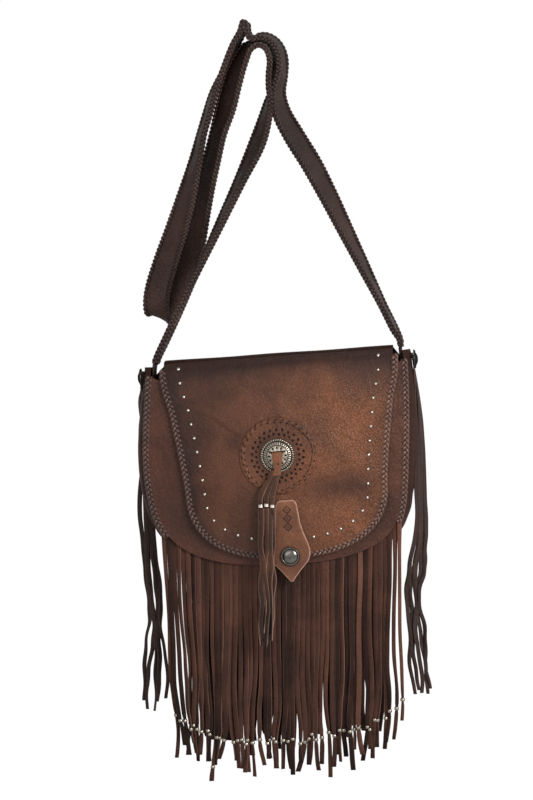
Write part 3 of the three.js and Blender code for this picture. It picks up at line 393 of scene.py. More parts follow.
def leather(
    name, deep, middle, warm, grain=1.0, dull=0.46, gloss=0.3, cell=430, pale=(0.3, 0.17, 0.125)
):
    """Dyed leather with a pebbled grain, darker in its pits and pale where cut. Its warm attribute warms
    and lightens it and its shade attribute darkens it, as painted light and shade where pieces paint them so.
    """
    material, shader, place = finish_named(name)
    tree = place.tree

    def painted(tone):
        return place.node("ShaderNodeAttribute", {"attribute_name": tone}, None, 2)

    def noise(scale, detail, distortion=0.0):
        sockets = {"Vector": place, "Scale": scale, "Detail": detail, "Distortion": distortion}
        return place.node("ShaderNodeTexNoise", None, sockets)

    clouds = noise(19, 4, 0.6).between(0.3, 0.72)
    drift = noise(7, 2).between(0.35, 0.65)
    pores = noise(cell * 2.6, 2)
    pebble = place.node(
        "ShaderNodeTexVoronoi",
        {"feature": "SMOOTH_F1"},
        {"Vector": place, "Scale": cell, "Smoothness": 0.6, "Randomness": 1.0},
    )
    creases = noise(58, 5, 1.2).between(0.44, 0.56)
    # Mottled tone, warmed and lightened by the warm attribute (painted light where pieces paint it so).
    body = (clouds * 0.3 + drift * 0.18 + painted("warm") * 0.8).blend(middle, warm)
    # The shade attribute darkens it towards the deep tone (painted shade where pieces paint it so).
    dark = painted("shade") + (1 - clouds) * 0.3
    toned = painted("pale").blend(dark.blend(body, deep), pale)
    # How warm a place is painted; the grain shows more there and the leather is a little less rough.
    warm_share = painted("warm").between(-0.2, 0.9)
    coarse = (warm_share * 0.55 + 0.45) * grain
    pits = pebble.between(0.2, 0.7) * 0.62 * coarse
    colour = pits.blend(toned, (0.36, 0.3, 0.28), "MULTIPLY")
    tree.links.new(colour.socket, shader.inputs["Base Color"])
    rough = (1 - pebble) * -0.12 + (noise(90, 3) * 0.22 + dull) - warm_share * 0.07 + painted("shade") * 0.22
    tree.links.new(rough.socket, shader.inputs["Roughness"])
    height = (1 - pebble) * coarse * 0.85 + pores * 0.2 + creases * 0.4
    bump = height.node("ShaderNodeBump", None, {"Strength": 0.8, "Distance": 0.0009, "Height": height})
    tree.links.new(bump.socket, shader.inputs["Normal"])
    shader.inputs["Specular IOR Level"].default_value = gloss
    return material


HIDE_TONES = (0.025, 0.0092, 0.006), (0.077, 0.028, 0.0158), (0.226, 0.082, 0.035)
HIDE_CELL = 520
hide_leather = leather("hide_leather", *HIDE_TONES, dull=0.4, gloss=0.23, cell=HIDE_CELL)

COLUMNS = 144
FLAP_ROWS, ROLL_ROWS, BACK_ROWS = 120, 14, 84
flap_u, flap_v = patch(
    flap_line, FLAP_CORNER, -FLAP_IN, lambda s: -FOLD_DOWN + 0 * s, COLUMNS, FLAP_ROWS
)
flap_net = hung(flap_u, -flap_face(flap_u, flap_v), flap_v)
turn = np.linspace(0, 1, ROLL_ROWS + 2)[1:-1, None]
roll_y = -(FOLD_AHEAD + HIDE_THICK / 2) + (2 * FOLD_AHEAD + 1.2) * turn
roll_v = 0.4 - (FOLD_DOWN - 0.2) * (1 - turn) ** 5 - 4.2 * turn**9
top_wide = np.interp(np.linspace(-1, 1, COLUMNS + 1), [-1, 1], [flap_u[0, 0], flap_u[0, -1]])
roll_net = hung(top_wide[None], roll_y, roll_v + 0.25 * np.sin(top_wide[None] / 17 + 3 * turn))
back_u, back_v = patch(
    seam_line, BODY_CORNER, -PANEL_THICK, lambda s: -ROLL_DOWN + 0 * s, COLUMNS, BACK_ROWS
)
back_behind = panel_face(back_u, back_v) + slack(back_u + 40, back_v - 25)
back_net = hung(back_u + sway(back_v), back_behind, back_v)
hide = cut_sheet(
    "hide", np.concatenate([flap_net[::-1], roll_net, back_net]), HIDE_THICK, (0, -1, 0), hide_leather
)

# The roll and the back are never rubbed, so their outer face is duller than the flap's.
back_leather = leather("back_leather", *HIDE_TONES, dull=0.5, gloss=0.03, cell=HIDE_CELL)
hide.data.materials.append(back_leather)
flap_faces = (FLAP_ROWS + 1) * COLUMNS
back_faces = (ROLL_ROWS + BACK_ROWS) * COLUMNS
inner_faces = len(hide.data.polygons) - flap_faces - back_faces
hide.data.polygons.foreach_set("material_index", [0] * flap_faces + [1] * back_faces + [0] * inner_faces)


def light_and_shade_spots(u, v, blotches):
    """Soft patches of painted light and shade on the flap: for each how strong it is, its middle and its
    reach.
    """
    return sum(much * mound(u, cu, wide) * mound(v, cv, high) for much, cu, cv, wide, high in blotches)


# Painted light: the flap's right half is lighter and warmer, with a few lighter and darker patches.
flap_painted_light = 0.95 * np.clip((flap_u + 25) / 95, 0, 1) * np.clip((-flap_v - 12) / 45, 0, 1) + light_and_shade_spots(
    flap_u, flap_v, ((0.3, -15, -95, 42, 50), (-0.8, 62, -141, 36, 15), (-0.5, 92, -35, 14, 22))
)
# Painted shade: dark along the top edge where it rolls over, over the left half, in two patches and near the
# side edges.
flap_shade = 0.95 * mound(flap_v, -2, 17) + 0.56 * np.clip((5 - flap_u) / 105, 0, 1) + light_and_shade_spots(
    flap_u, flap_v, ((0.35, -48, -88, 12, 12), (0.4, 60, -142, 34, 13))
)
flap_shade += 0.45 * np.abs(np.linspace(-1, 1, COLUMNS + 1)) ** 14
# Painted shade on the back: darkest at the top of the roll, even down the back.
BACK_SHADE = 0.55
rest_shade = np.full((ROLL_ROWS + BACK_ROWS + 1, COLUMNS + 1), BACK_SHADE)
rest_shade[: ROLL_ROWS + 6] = np.linspace(1.0, BACK_SHADE, ROLL_ROWS + 6)[:, None]
paint(
    hide,
    warm=np.concatenate([flap_painted_light[::-1], 0 * rest_shade]),
    shade=np.concatenate([flap_shade[::-1], rest_shade]),
)
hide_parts("flap", "back_panel")
tuple(hung(0, -16.5, 0))
tuple(hung(0, -FOLD_AHEAD, 0))
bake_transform(hide)


# The front panel: a single layer of the same leather behind the flap, scooped at the mouth and
# sewn to the gusset. It shows as a margin outside the flap, in its shadow.
MOUTH_DOWN, MOUTH_SCOOP = 16, 26
PANEL_ROWS = 96
panel_leather = leather(
    "panel_leather", (0.019, 0.0078, 0.006), (0.076, 0.0285, 0.0185), (0.16, 0.06, 0.032), gloss=0.2
)
panel_u, panel_v = patch(
    seam_line, BODY_CORNER, -PANEL_THICK, lambda s: -MOUTH_DOWN - MOUTH_SCOOP * (1 - s * s),
    COLUMNS, PANEL_ROWS,
)
panel_ahead = panel_face(panel_u, panel_v) + 0.55 * slack(panel_u - 30, panel_v + 18)
panel_net = hung(panel_u + sway(panel_v), -panel_ahead, panel_v)
front = cut_sheet("front_leather", panel_net, PANEL_THICK, (0, -1, 0), panel_leather)
# Painted light and shade: the panel is lighter towards the right, and a painted shadow of the flap lies on
# it, fading towards its outer margins.
flap_shadow = np.clip(1 - (np.abs(panel_u) - 95) / 30, 0, 1) * np.clip((panel_v + 205) / 30, 0, 1)
paint(front, warm=0.25 * np.clip(panel_u / 100, 0, 1), shade=0.12 + 0.35 * flap_shadow)
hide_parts("front_panel")
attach(front, "bag")


# The gusset: one long strip of dark leather down the left side, under the bag and up the right.
# It bows outwards between the seams and buckles in small folds where it turns the corners.
GUSSET_THICK, GUSSET_TOP = 2.2, 5.5
TOP_BOW, BOTTOM_LESS, MIDDLE_BOW = 6, 3.5, 6
SEAM_IN, SEAM_AWAY = 1.5, 2.1


def gusset_bow(v):
    """How far the strip bows out past the seams."""
    return TOP_BOW - BOTTOM_LESS * down_share(v) + MIDDLE_BOW * np.sin(np.pi * down_share(v))


def gusset_side(side, depth):
    """How far across the strip's outermost line is at a depth."""
    u, v = beside(seam_line, share_at(seam_line, depth), 0, side)[:2]
    return u + sway(v) + side * gusset_bow(v)


gusset_leather = leather(
    "gusset_leather", (0.013, 0.0062, 0.0054), (0.05, 0.021, 0.015), (0.1, 0.042, 0.027), gloss=0.07
)
turns = np.linspace(-1, 1, 341)[:, None]
gusset_share = 1 + (share_at(seam_line, GUSSET_TOP) - 1) * np.abs(turns)
gusset_u, gusset_v, gusset_out_u, gusset_out_v = beside(seam_line, gusset_share, 0, 1)
around = np.linspace(0, math.pi, 41)[None]
buckle = 0.3 * np.sin(turns * 88) * np.sin(around) * (0.5 + 0.5 * np.sin(turns * 13 + 1))
away = -SEAM_IN + (gusset_bow(gusset_v) + SEAM_IN) * np.sin(around) - buckle
gusset_net = hung(
    np.sign(turns) * (gusset_u + gusset_out_u * away) + sway(gusset_v),
    -(half_depth(gusset_v) - SEAM_AWAY) * np.cos(around),
    gusset_v + gusset_out_v * away,
)
side_strip = cut_sheet("gusset_leather", gusset_net, GUSSET_THICK, (-1, 0, 0), gusset_leather)
paint(side_strip, warm=[0.0], shade=[0.35])
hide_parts("gusset")
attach(side_strip, "bag")


# The lacing: a flat braid of three leather laces worked over the edges of the seams and of the
# flap, so that two rows of slanting stitches show on each face.
LACE_WIDE = 2.9
EDGE_BRAID = {"half": 2.45, "rise": 1.2, "turn": 15.6, "wide": LACE_WIDE, "thick": 1.5}
SEAM_LACED_FROM, SEAM_LACED_TO, FLAP_LACED_FROM = 15, 184, 9


def tree_named(name, inputs):
    """A new tree of geometry nodes with its named inputs, as signals."""
    tree = bpy.data.node_groups.new(name, "GeometryNodeTree")
    for label, kind in {"Geometry": "Geometry", **inputs}.items():
        tree.interface.new_socket(label, in_out="INPUT", socket_type="NodeSocket" + kind)
    tree.interface.new_socket("Geometry", in_out="OUTPUT", socket_type="NodeSocketGeometry")
    entry = tree.nodes.new("NodeGroupInput")
    return {socket.name: Signal(tree, socket) for socket in entry.outputs if socket.name}


def close_tree(geometry, finish):
    """Ends a tree of geometry nodes with real, smooth geometry in its finish."""
    whole = geometry.node("GeometryNodeRealizeInstances", None, {"Geometry": geometry})
    smooth = whole.node("GeometryNodeSetShadeSmooth", None, {"Geometry": whole})
    dressed = smooth.node("GeometryNodeSetMaterial", None, {"Geometry": smooth, "Material": finish})
    leave = dressed.tree.nodes.new("NodeGroupOutput")
    dressed.tree.links.new(dressed.socket, leave.inputs[0])
    return dressed.tree


def plain_mesh(piece, tree, **sizes):
    """Grows a piece by a tree of nodes and leaves it with the plain mesh that came out."""
    grower = piece.modifiers.new("grower", "NODES")
    grower.node_group = tree
    for item in tree.interface.items_tree:
        if item.in_out == "INPUT" and item.name in sizes:
            grower[item.identifier] = sizes[item.name]
    grown = bpy.data.meshes.new_from_object(piece.evaluated_get(bpy.context.evaluated_depsgraph_get()))
    piece.modifiers.remove(grower)
    piece.data = grown
    return piece


def paths_piece(name, lines):
    """Open lines of places, each with its outward and facing directions, as one object to grow on."""
    places = np.concatenate([line[0] for line in lines])
    edges, first = [], 0
    for line in lines:
        count = len(line[0])
        edges += [(first + k, first + k + 1) for k in range(count - 1)]
        first += count
    mesh = bpy.data.meshes.new(name)
    mesh.from_pydata(places.tolist(), edges, [])
    for label, k in (("out", 1), ("face", 2)):
        values = np.concatenate([np.broadcast_to(line[k], line[0].shape) for line in lines])
        directions = mesh.attributes.new(label, "FLOAT_VECTOR", "POINT")
        directions.data.foreach_set("vector", values.astype(np.float32).ravel())
    piece = bpy.data.objects.new(name, mesh)
    bpy.context.scene.collection.objects.link(piece)
    return piece


def named_vector(signal, name):
    return signal.node("GeometryNodeInputNamedAttribute", {"data_type": "FLOAT_VECTOR"}, {"Name": name})


def scaled(vector, size):
    return vector.node("ShaderNodeVectorMath", {"operation": "SCALE"}, {0: vector, "Scale": size})


braid_sizes = dict.fromkeys(("Half", "Rise", "Turn", "Wide", "Thick"), "Float")
braid = tree_named("braid", {**braid_sizes, "Leather": "Material"})
line = braid["Geometry"].node("GeometryNodeMeshToCurve", None, {"Mesh": braid["Geometry"]})
fine = line.node(
    "GeometryNodeResampleCurve", {"mode": "LENGTH"}, {"Curve": line, "Length": braid["Turn"] * (1 / 14)}
)
three = fine.node("GeometryNodeDuplicateElements", {"domain": "SPLINE"}, {"Geometry": fine, "Amount": 3})
which = Signal(three.tree, three.socket.node.outputs["Duplicate Index"])
walked = Signal(three.tree, three.tree.nodes.new("GeometryNodeSplineParameter").outputs["Length"])
phase = walked.sum("DIVIDE", walked, braid["Turn"]) * math.tau + which * (math.tau / 3)
sideways = phase.node("ShaderNodeMath", {"operation": "SINE"}, {0: phase}) * braid["Half"]
rise = phase.node("ShaderNodeMath", {"operation": "SINE"}, {0: phase * 2}) * braid["Rise"]
shift = sideways.node(
    "ShaderNodeVectorMath",
    {"operation": "ADD"},
    {0: scaled(named_vector(line, "out"), sideways), 1: scaled(named_vector(line, "face"), rise)},
)
moved = shift.node("GeometryNodeSetPosition", None, {"Geometry": three, "Offset": shift})
upright = moved.node(
    "GeometryNodeSetCurveNormal", {"mode": "FREE"}, {"Curve": moved, "Normal": named_vector(line, "face")}
)
ring = upright.node("GeometryNodeCurvePrimitiveCircle", None, {"Resolution": 8, "Radius": 0.5})
size = ring.node("ShaderNodeCombineXYZ", None, {"X": braid["Thick"], "Y": braid["Wide"], "Z": 1.0})
section = ring.node("GeometryNodeTransform", None, {"Geometry": ring, "Scale": size})
laces = section.node(
    "GeometryNodeCurveToMesh", None, {"Curve": upright, "Profile Curve": section, "Fill Caps": True}
)
braid_tree = close_tree(laces, braid["Leather"])

lace_leather = leather(
    "lace_leather", (0.017, 0.008, 0.0068), (0.075, 0.033, 0.0235), (0.19, 0.088, 0.056),
    grain=0.5, dull=0.34, gloss=0.5,
)


def braided(name, lines, finish, half, rise, turn, wide, thick):
    """A braid of three laces along each line; how far it swings, rises and turns is in millimetres."""
    start = paths_piece(name, lines)
    return plain_mesh(
        start, braid_tree, Half=half * MM, Rise=rise * MM, Turn=turn * MM, Wide=wide * MM, Thick=thick * MM,
        Leather=finish,
    )


def edge_line(line, share, outward, side, ahead):
    """A braid's line beside an outline: places, outward directions and the direction it faces."""
    u, v, out_u, out_v = beside(line, share, outward, side)
    u = u + (sway(v) if line is seam_line else 0)
    outwards = out_u[:, None] * ALONG + out_v[:, None] * UPWARD
    return hung(u, ahead(u, v), v), outwards, np.array((0, -1.0, 0))


seam_share = np.linspace(share_at(seam_line, SEAM_LACED_FROM), share_at(seam_line, SEAM_LACED_TO), 120)
for facing, name in ((-1, "front"), (1, "back")):
    for side, hand in ((-1, "left"), (1, "right")):
        line = edge_line(seam_line, seam_share, -0.6, side, lambda u, v: facing * (half_depth(v) + 1.7))
        piece = braided(f"{name}_braid_{hand}", [line], lace_leather, **EDGE_BRAID)
        # Painted light and shade: the braids on the right are lighter and those on the left darker.
        paint(piece, warm=[0.1 if side < 0 else 0.35], shade=[0.35 if side < 0 else 0.15])
        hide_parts(f"{name}_lacing_{hand}")
        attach(piece, "bag")

TAB_U, TAB_CLEAR = -0.9, 20.5
for side, hand in ((-1, "left"), (1, "right")):
    flap_share = np.linspace(share_at(flap_line, FLAP_LACED_FROM), 1, 400)
    u = beside(flap_line, flap_share, 0, side)[0]
    flap_share = flap_share[np.abs(u - TAB_U) > TAB_CLEAR]
    line = edge_line(flap_line, flap_share, -3.0, side, lambda u, v: -(flap_face(u, v) - HIDE_THICK / 2))
    piece = braided(f"flap_braid_{hand}", [line], lace_leather, **EDGE_BRAID)
    # Painted light and shade: the flap's braid is lighter on the right and darker on the left.
    paint(piece, warm=[0.2 if side < 0 else 0.7], shade=[0.3 if side < 0 else 0.05])
    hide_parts(f"flap_lacing_{hand}")
    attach(piece, "flap")


# The strap: a long doubled strip of almost black leather with a braid along each edge. It goes
# from the right side over the hook, down in a slack loop, over the hook again and to the left.
STRAP_WIDE, BAND_THICK, BAND_EDGE_IN = 28, 3.4, 2.0
STRAP_IN_GUSSET, STRAP_EXIT_HALF, STRAP_EXIT_UP = 10.6, 128.0, 4
STRAP_HELD_AT = (GUSSET_TOP, 16, 34)
STRAP_BRAID = {"half": 2.1, "rise": 1.1, "turn": 13, "wide": LACE_WIDE, "thick": 2.2}
STRAP_BRAID_IN = 1.9

# Each row is a place on the strap's middle line between the two legs, and the way to its front
# edge there. The legs themselves are worked out below, from where the gusset holds them.
STRAP_ROUTE = (
    (74, 0, -157, -0.5, -0.8, -0.3), (55.4, 0, -122, -0.6, -0.72, -0.35),
    (36.8, 0, -92, -0.62, -0.7, -0.3), (23.8, 0, -67, -0.52, -0.8, -0.2),
    (20.8, 0, -47, -0.38, -0.92, 0), (24.4, 0, -29, -0.24, -0.97, 0),
    (25.2, 0, -14, -0.22, -0.97, -0.1), (22.4, 0, -3, -0.17, -0.96, -0.2),
    (16.6, 0, 5.4, -0.1, -0.96, -0.24), (9, 0, 10.2, 0, -0.97, -0.25), (1, 0, 11, 0, -0.97, -0.2),
    (-6.4, 0, 8.8, -0.05, -0.98, -0.1), (-11, 0, 14.4, -0.05, -1, 0), (-12.4, 0, 19.6, -0.05, -1, 0),
    (-12.5, 0, 23.8, -0.05, -1, 0), (-13.9, 0, 26.2, -0.05, -1, 0), (-15.4, 0, 23.8, -0.05, -1, 0),
    (-17.4, 0, 16, -0.05, -1, 0), (-25, 0, 1.6, -0.08, -1, 0), (-36.4, 0, -22.6, 0.08, -1, 0),
    (-46.8, 1, -46.7, 0.22, -0.96, -0.05), (-54.2, 3, -70.9, 0.28, -0.95, -0.1),
    (-60, 5, -90, 0.28, -0.95, -0.14), (-68, 8, -123.4, 0.46, -0.86, -0.18),
    (-78, 11, -160, 0.7, -0.66, -0.2), (-88, 13, -192, 0.84, -0.5, -0.2),
    (-100, 15, -227, 0.93, -0.28, -0.2), (-107.6, 16, -253, 0.97, -0.12, -0.25),
    (-109.6, 16.4, -268, 0.95, -0.04, -0.36), (-108.6, 19.5, -278.5, 0.93, 0, -0.42),
    (-105.6, 25.5, -282.5, 0.93, 0, -0.42), (-101, 31.5, -279, 0.93, 0, -0.4),
    (-95.6, 34, -268, 0.94, -0.1, -0.34), (-86.6, 34, -250, 0.94, -0.16, -0.3),
    (-78.5, 32.5, -230, 0.93, -0.28, -0.26), (-71.5, 29, -207, 0.88, -0.42, -0.22),
    (-65.5, 24, -179, 0.8, -0.55, -0.2), (-58, 18, -146, 0.7, -0.66, -0.18),
    (-50, 13, -116, 0.62, -0.74, -0.16), (-43, 9, -89, 0.6, -0.78, -0.12),
    (-34.8, 5.5, -62, 0.76, -0.64, -0.14), (-27.8, 2.6, -36, 0.74, -0.66, -0.14),
    (-20.2, 0.8, -15.6, 0.6, -0.78, -0.18), (-12.4, 0, -1.6, 0.42, -0.88, -0.22),
    (-0.8, 0, 3.8, 0.08, -0.97, -0.22), (8.4, 0, 1.2, -0.12, -0.97, -0.18),
    (13.6, 0, -6.4, -0.2, -0.97, -0.1), (15.6, 0, -17, -0.24, -0.97, 0),
    (14.4, 0, -29, -0.24, -0.97, 0), (12.6, 0, -43, -0.08, -0.98, 0), (10.6, 0, -57, 0.24, -0.96, 0.03),
    (7.4, 0, -73, 0.44, -0.9, 0), (-1, 0, -100, 0.58, -0.8, -0.1),
    (-19.4, 0, -140.2, 0.4, -0.92, -0.08),
)


def flowing(points, count):
    """More places on a smooth curve through a few, at even steps of the root of their distance."""
    points = np.asarray(points, float)
    padded = np.concatenate([2 * points[:1] - points[1:2], points, 2 * points[-1:] - points[-2:-1]])
    knots = np.cumsum(np.r_[0, np.sqrt(np.linalg.norm(np.diff(padded[:, :3], axis=0), axis=1) + 1e-9)])
    at = np.linspace(knots[1], knots[-2], count)
    k = np.clip(np.searchsorted(knots, at, "right") - 1, 1, len(padded) - 3)
    level = [padded[k + j] for j in (-1, 0, 1, 2)]
    for reach in (1, 2, 3):
        blended = []
        for j in range(len(level) - 1):
            low = knots[k - 1 + j] if reach == 1 else knots[k + (j - 1 if reach == 2 else 0)]
            high = knots[k + j] if reach == 1 else knots[k + (j + 1 if reach == 2 else 1)]
            t = ((at - low) / (high - low))[:, None]
            blended.append(level[j] * (1 - t) + level[j + 1] * t)
        level = blended
    return level[0]


def tube_faces(index):
    """The faces between rings of numbered places, each ring a row."""
    corners = index[:-1], index[1:], np.roll(index[1:], -1, 1), np.roll(index[:-1], -1, 1)
    return np.stack([corner.ravel() for corner in corners], 1).tolist()


HALF_SECTION = (1, 0.4), (0.74, 1), (0, 1.1), (-0.74, 1), (-1, 0.4)
SECTION = HALF_SECTION + tuple((-across, -through) for across, through in HALF_SECTION)


def strips(name, middles, edges, thick, finish):
    """Strips of leather with rounded edges: for each its middle line and the way to its edge, in metres."""
    places, faces, first = [], [], 0
    for middle, edge in zip(middles, edges):
        way = np.gradient(middle, axis=0)
        flat = np.cross(edge, way)
        flat *= 0.5 * thick / np.linalg.norm(flat, axis=1)[:, None]
        rings = np.stack([middle + across * edge + through * flat for across, through in SECTION], 1)
        index = first + np.arange(rings.size // 3).reshape(-1, len(SECTION))
        faces += tube_faces(index) + [index[0].tolist(), index[-1][::-1].tolist()]
        places.append(rings.reshape(-1, 3))
        first += index.size
    return mesh_piece(name, np.concatenate(places), faces, finish)


LEG_SHARES = (0.25, 0.5, 0.75, 0.92)
FINE_STATIONS, STATIONS = 900, 640
route = [(np.array(row[:3]) * MM, np.array(row[3:])) for row in STRAP_ROUTE]
for side, shoulder, leg_edge in ((1, route[0], (-0.1, -0.98, -0.05)), (-1, route[-1], (-0.02, -0.99, 0))):
    way_in = [hung(STRAP_EXIT_HALF * side, 0, STRAP_EXIT_UP)]
    for depth in STRAP_HELD_AT:
        way_in.append(hung(gusset_side(side, depth) - side * STRAP_IN_GUSSET, 0, -depth))
    turned_edge = shoulder[1] / np.linalg.norm(shoulder[1])
    leg = []
    for share in LEG_SHARES:
        edge = turned_edge + (np.array(leg_edge) - turned_edge) * min(1, share * 1.3)
        leg.append((shoulder[0] * (1 - share) + way_in[0] * share, edge))
    leg += [(place, np.array((0, -1.0, 0))) for place in way_in]
    route = leg[::-1] + route if side == 1 else route + leg
strap_line = flowing([[*place, *(edge / np.linalg.norm(edge))] for place, edge in route], FINE_STATIONS)
walked = np.r_[0, np.cumsum(np.linalg.norm(np.diff(strap_line[:, :3], axis=0), axis=1))]
even = np.linspace(0, walked[-1], STATIONS)
strap_line = np.stack([np.interp(even, walked, strap_line[:, k]) for k in range(6)], 1)
strap_middle, strap_half = strap_line[:, :3], strap_line[:, 3:]
strap_way = np.gradient(strap_middle, axis=0)
strap_way /= np.linalg.norm(strap_way, axis=1)[:, None]
half_wide = STRAP_WIDE / 2 * MM
strap_half = strap_half - strap_way * (strap_half * strap_way).sum(1)[:, None]
strap_half *= half_wide / np.linalg.norm(strap_half, axis=1)[:, None]
strap_flat = np.cross(strap_half, strap_way) / half_wide
strap_leather = leather(
    "strap_leather", (0.0105, 0.0072, 0.0067), (0.034, 0.0208, 0.018), (0.085, 0.041, 0.03),
    gloss=0.16, dull=0.52,
)
strap_wave = strap_middle + strap_flat * (0.35 * MM * np.sin(np.arange(STATIONS) * 0.41)[:, None])
band_half = strap_half * (1 - BAND_EDGE_IN * MM / half_wide)
strap_band = strips("strap_band", [strap_wave], [band_half], BAND_THICK * MM, strap_leather)
low_share = np.repeat(np.clip((-0.1 - strap_middle[:, 2]) / 0.2, 0, 1), len(SECTION))
paint(strap_band, warm=0.35 * low_share, shade=0.3 - 0.2 * low_share)
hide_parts("strap")
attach(strap_band, "bag")
strap_laces = leather(
    "strap_laces", (0.007, 0.0049, 0.0045), (0.029, 0.0178, 0.0152), (0.08, 0.044, 0.034),
    grain=0.5, dull=0.42, gloss=0.22,
)
outside_bag = slice(14, STATIONS - 14)
strap_lines = []
for sign in (1, -1):
    line = strap_middle + sign * strap_half * (1 - STRAP_BRAID_IN * MM / half_wide)
    outwards = sign * strap_half / half_wide
    strap_lines.append((line[outside_bag], strap_flat[outside_bag], outwards[outside_bag]))
strap_braid = braided("strap_braid", strap_lines, strap_laces, **STRAP_BRAID)
paint(strap_braid, warm=[0.2], shade=[0.1])
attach(strap_braid, "bag")


# The fringe: straight-cut strands of thin soft leather sewn into the bottom seam, long ones with
# a metal bead near the end in front, and shorter plain ones behind.
FRINGE_THICK = 1.4
FRINGE_LEFT, FRINGE_RIGHT = -100, 151
ABOVE_SEAM = 6
BEAD_DROP = 183
STRAGGLERS = {0: (8, 0), -10: (22, 34)}
RINGS = 44
rng = np.random.default_rng(11)
fringe_leather = leather(
    "fringe_leather", (0.0115, 0.0058, 0.0048), (0.05, 0.0215, 0.0148), (0.135, 0.056, 0.036),
    grain=0.3, dull=0.62, gloss=0.12, pale=(0.2, 0.108, 0.08),
)


def swing(fall, long, short):
    """A slow sideways wander of a hanging strip, in millimetres at each distance down."""
    return np.sin(math.tau * fall / rng.uniform(short, long) + rng.uniform(0, math.tau))


def fringe(facing, count, length, wide, left, right, spread, loose):
    """Strands that hang plumb from the seam, from a left to a right place across.

    Spread is how uneven their lengths are, and loose how far they stray sideways. It gives each
    strand's middle line, the way to its edge, its tones (warm, shade, pale cut) and its bead's drop.
    """
    share = np.linspace(-1, 1, 600)
    seam_share = 1 + (share_at(seam_line, 150) - 1) * np.abs(share)
    u, v = beside(seam_line, seam_share, -3, 1)[:2]
    roots = hung(np.sign(share) * u + sway(v), facing * (half_depth(v) - 1.1), v)
    pitch = (right - left) / count
    middles, edges, tones, beads = [], [], [], []
    for i in range(count):
        x = (left + pitch * (i + 0.5 + 0.1 * rng.uniform(-1, 1))) * MM
        k = int(np.argmin(np.abs(roots[:, 0] - x)))
        longer, bead_lower = STRAGGLERS.get(facing * i, (0, 0))
        from_end = min(i, count - 1 - i) * pitch
        at_end = max(0, 1 - from_end / 26)
        long = length + rng.normal(0, spread) + 13 * at_end + longer
        fall = np.linspace(-ABOVE_SEAM, long, RINGS)
        t = np.clip(fall / long, 0, 1)
        end = np.clip((t - 0.84) / 0.16, 0, 1)
        lean = 15 * max(0, 1 - i * pitch / 60) - 2 * max(0, 1 - (count - i) * pitch / 40)
        together = 1.8 * np.sin(x * 190 + fall / 34) * t + 1.4 * np.sin(x * 71 - fall / 21) * t
        across = (rng.normal(0, loose) + lean) * t**1.3 + together
        across += loose * rng.uniform(0.1, 0.5) * swing(fall, 130, 60) * t
        across += rng.uniform(0.1, 0.6) * swing(fall, 55, 30) * t**2.5 + rng.normal(0, 3) * end**1.5
        back = rng.normal(0, 1.5) * t + rng.uniform(0.3, 1.3) * swing(fall, 120, 60) * t
        back += rng.normal(0, 2) * end + facing * 0.9 * (i % 2)
        bead = BEAD_DROP + rng.normal(0, 2.2) + 11 * at_end + bead_lower
        turned_by = rng.normal(0, 0.2) + rng.normal(0, 0.3) * t
        turned_by = turned_by + rng.uniform(0.1, 0.7) * swing(fall, 120, 60) * t**1.5
        half = 0.5 * wide * (1.03 - (0.03 + rng.uniform(0, 0.16) + 0.2 * at_end) * np.clip(fall / 40, 0, 1))
        if facing < 0:
            half = half * (1 - 0.35 * mound(fall - bead, 1.5, 4))
        middles.append(np.stack([x + MM * across, roots[k, 1] + MM * back, roots[k, 2] - MM * fall], 1))
        edges.append(MM * np.stack([np.cos(turned_by) * half, np.sin(turned_by) * half, 0 * half], 1))
        # Painted light: strands further right are lighter, and each is lighter towards the seam; the rest of
        # their tone varies at random, and they darken towards their ends.
        light = 1.6 * rng.uniform(0, 1) ** 1.5 * np.clip(0.55 + (x - TOP_MIDDLE[0]) * 4, 0.3, 1)
        cut = rng.uniform(0.1, 1) + 0 * t
        tones.append(np.stack([light * (1 - 0.6 * t), rng.uniform(-0.15, 0.65) + 0.3 * t**2 + 0 * t, cut], 1))
        beads.append(bead)
    return middles, edges, tones, beads


def tone_strips(piece, tones, pale=0.0):
    """Paints strips with the tones of their lines; only a section's two ends show the cut leather."""
    whole = np.repeat(np.concatenate(tones), len(SECTION), axis=0)
    cut_sides = np.resize([abs(across) == 1 for across, _ in SECTION], len(whole))
    paint(piece, warm=whole[:, 0], shade=whole[:, 1], pale=cut_sides * pale * whole[:, 2])


front_middles, front_edges, front_tones, bead_drops = fringe(
    -1, count=50, length=212, wide=5.5, left=FRINGE_LEFT, right=FRINGE_RIGHT, spread=6, loose=1.3
)
front_strands = strips("front_strands", front_middles, front_edges, FRINGE_THICK * MM, fringe_leather)
tone_strips(front_strands, front_tones, 0.75)
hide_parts("front_fringe")
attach(front_strands, "bag")

back_middles, back_edges, back_tones, _ = fringe(
    1, count=43, length=186, wide=8.2, left=FRINGE_LEFT + 26, right=FRINGE_RIGHT - 12, spread=7, loose=0.7
)
# Painted shade: the back row hangs behind the front one and is painted darker.
for tone in back_tones:
    tone[:, 1] += 0.3
back_strands = strips("back_strands", back_middles, back_edges, FRINGE_THICK * MM, fringe_leather)
tone_strips(back_strands, back_tones, 0.25)
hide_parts("back_fringe")
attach(back_strands, "bag")


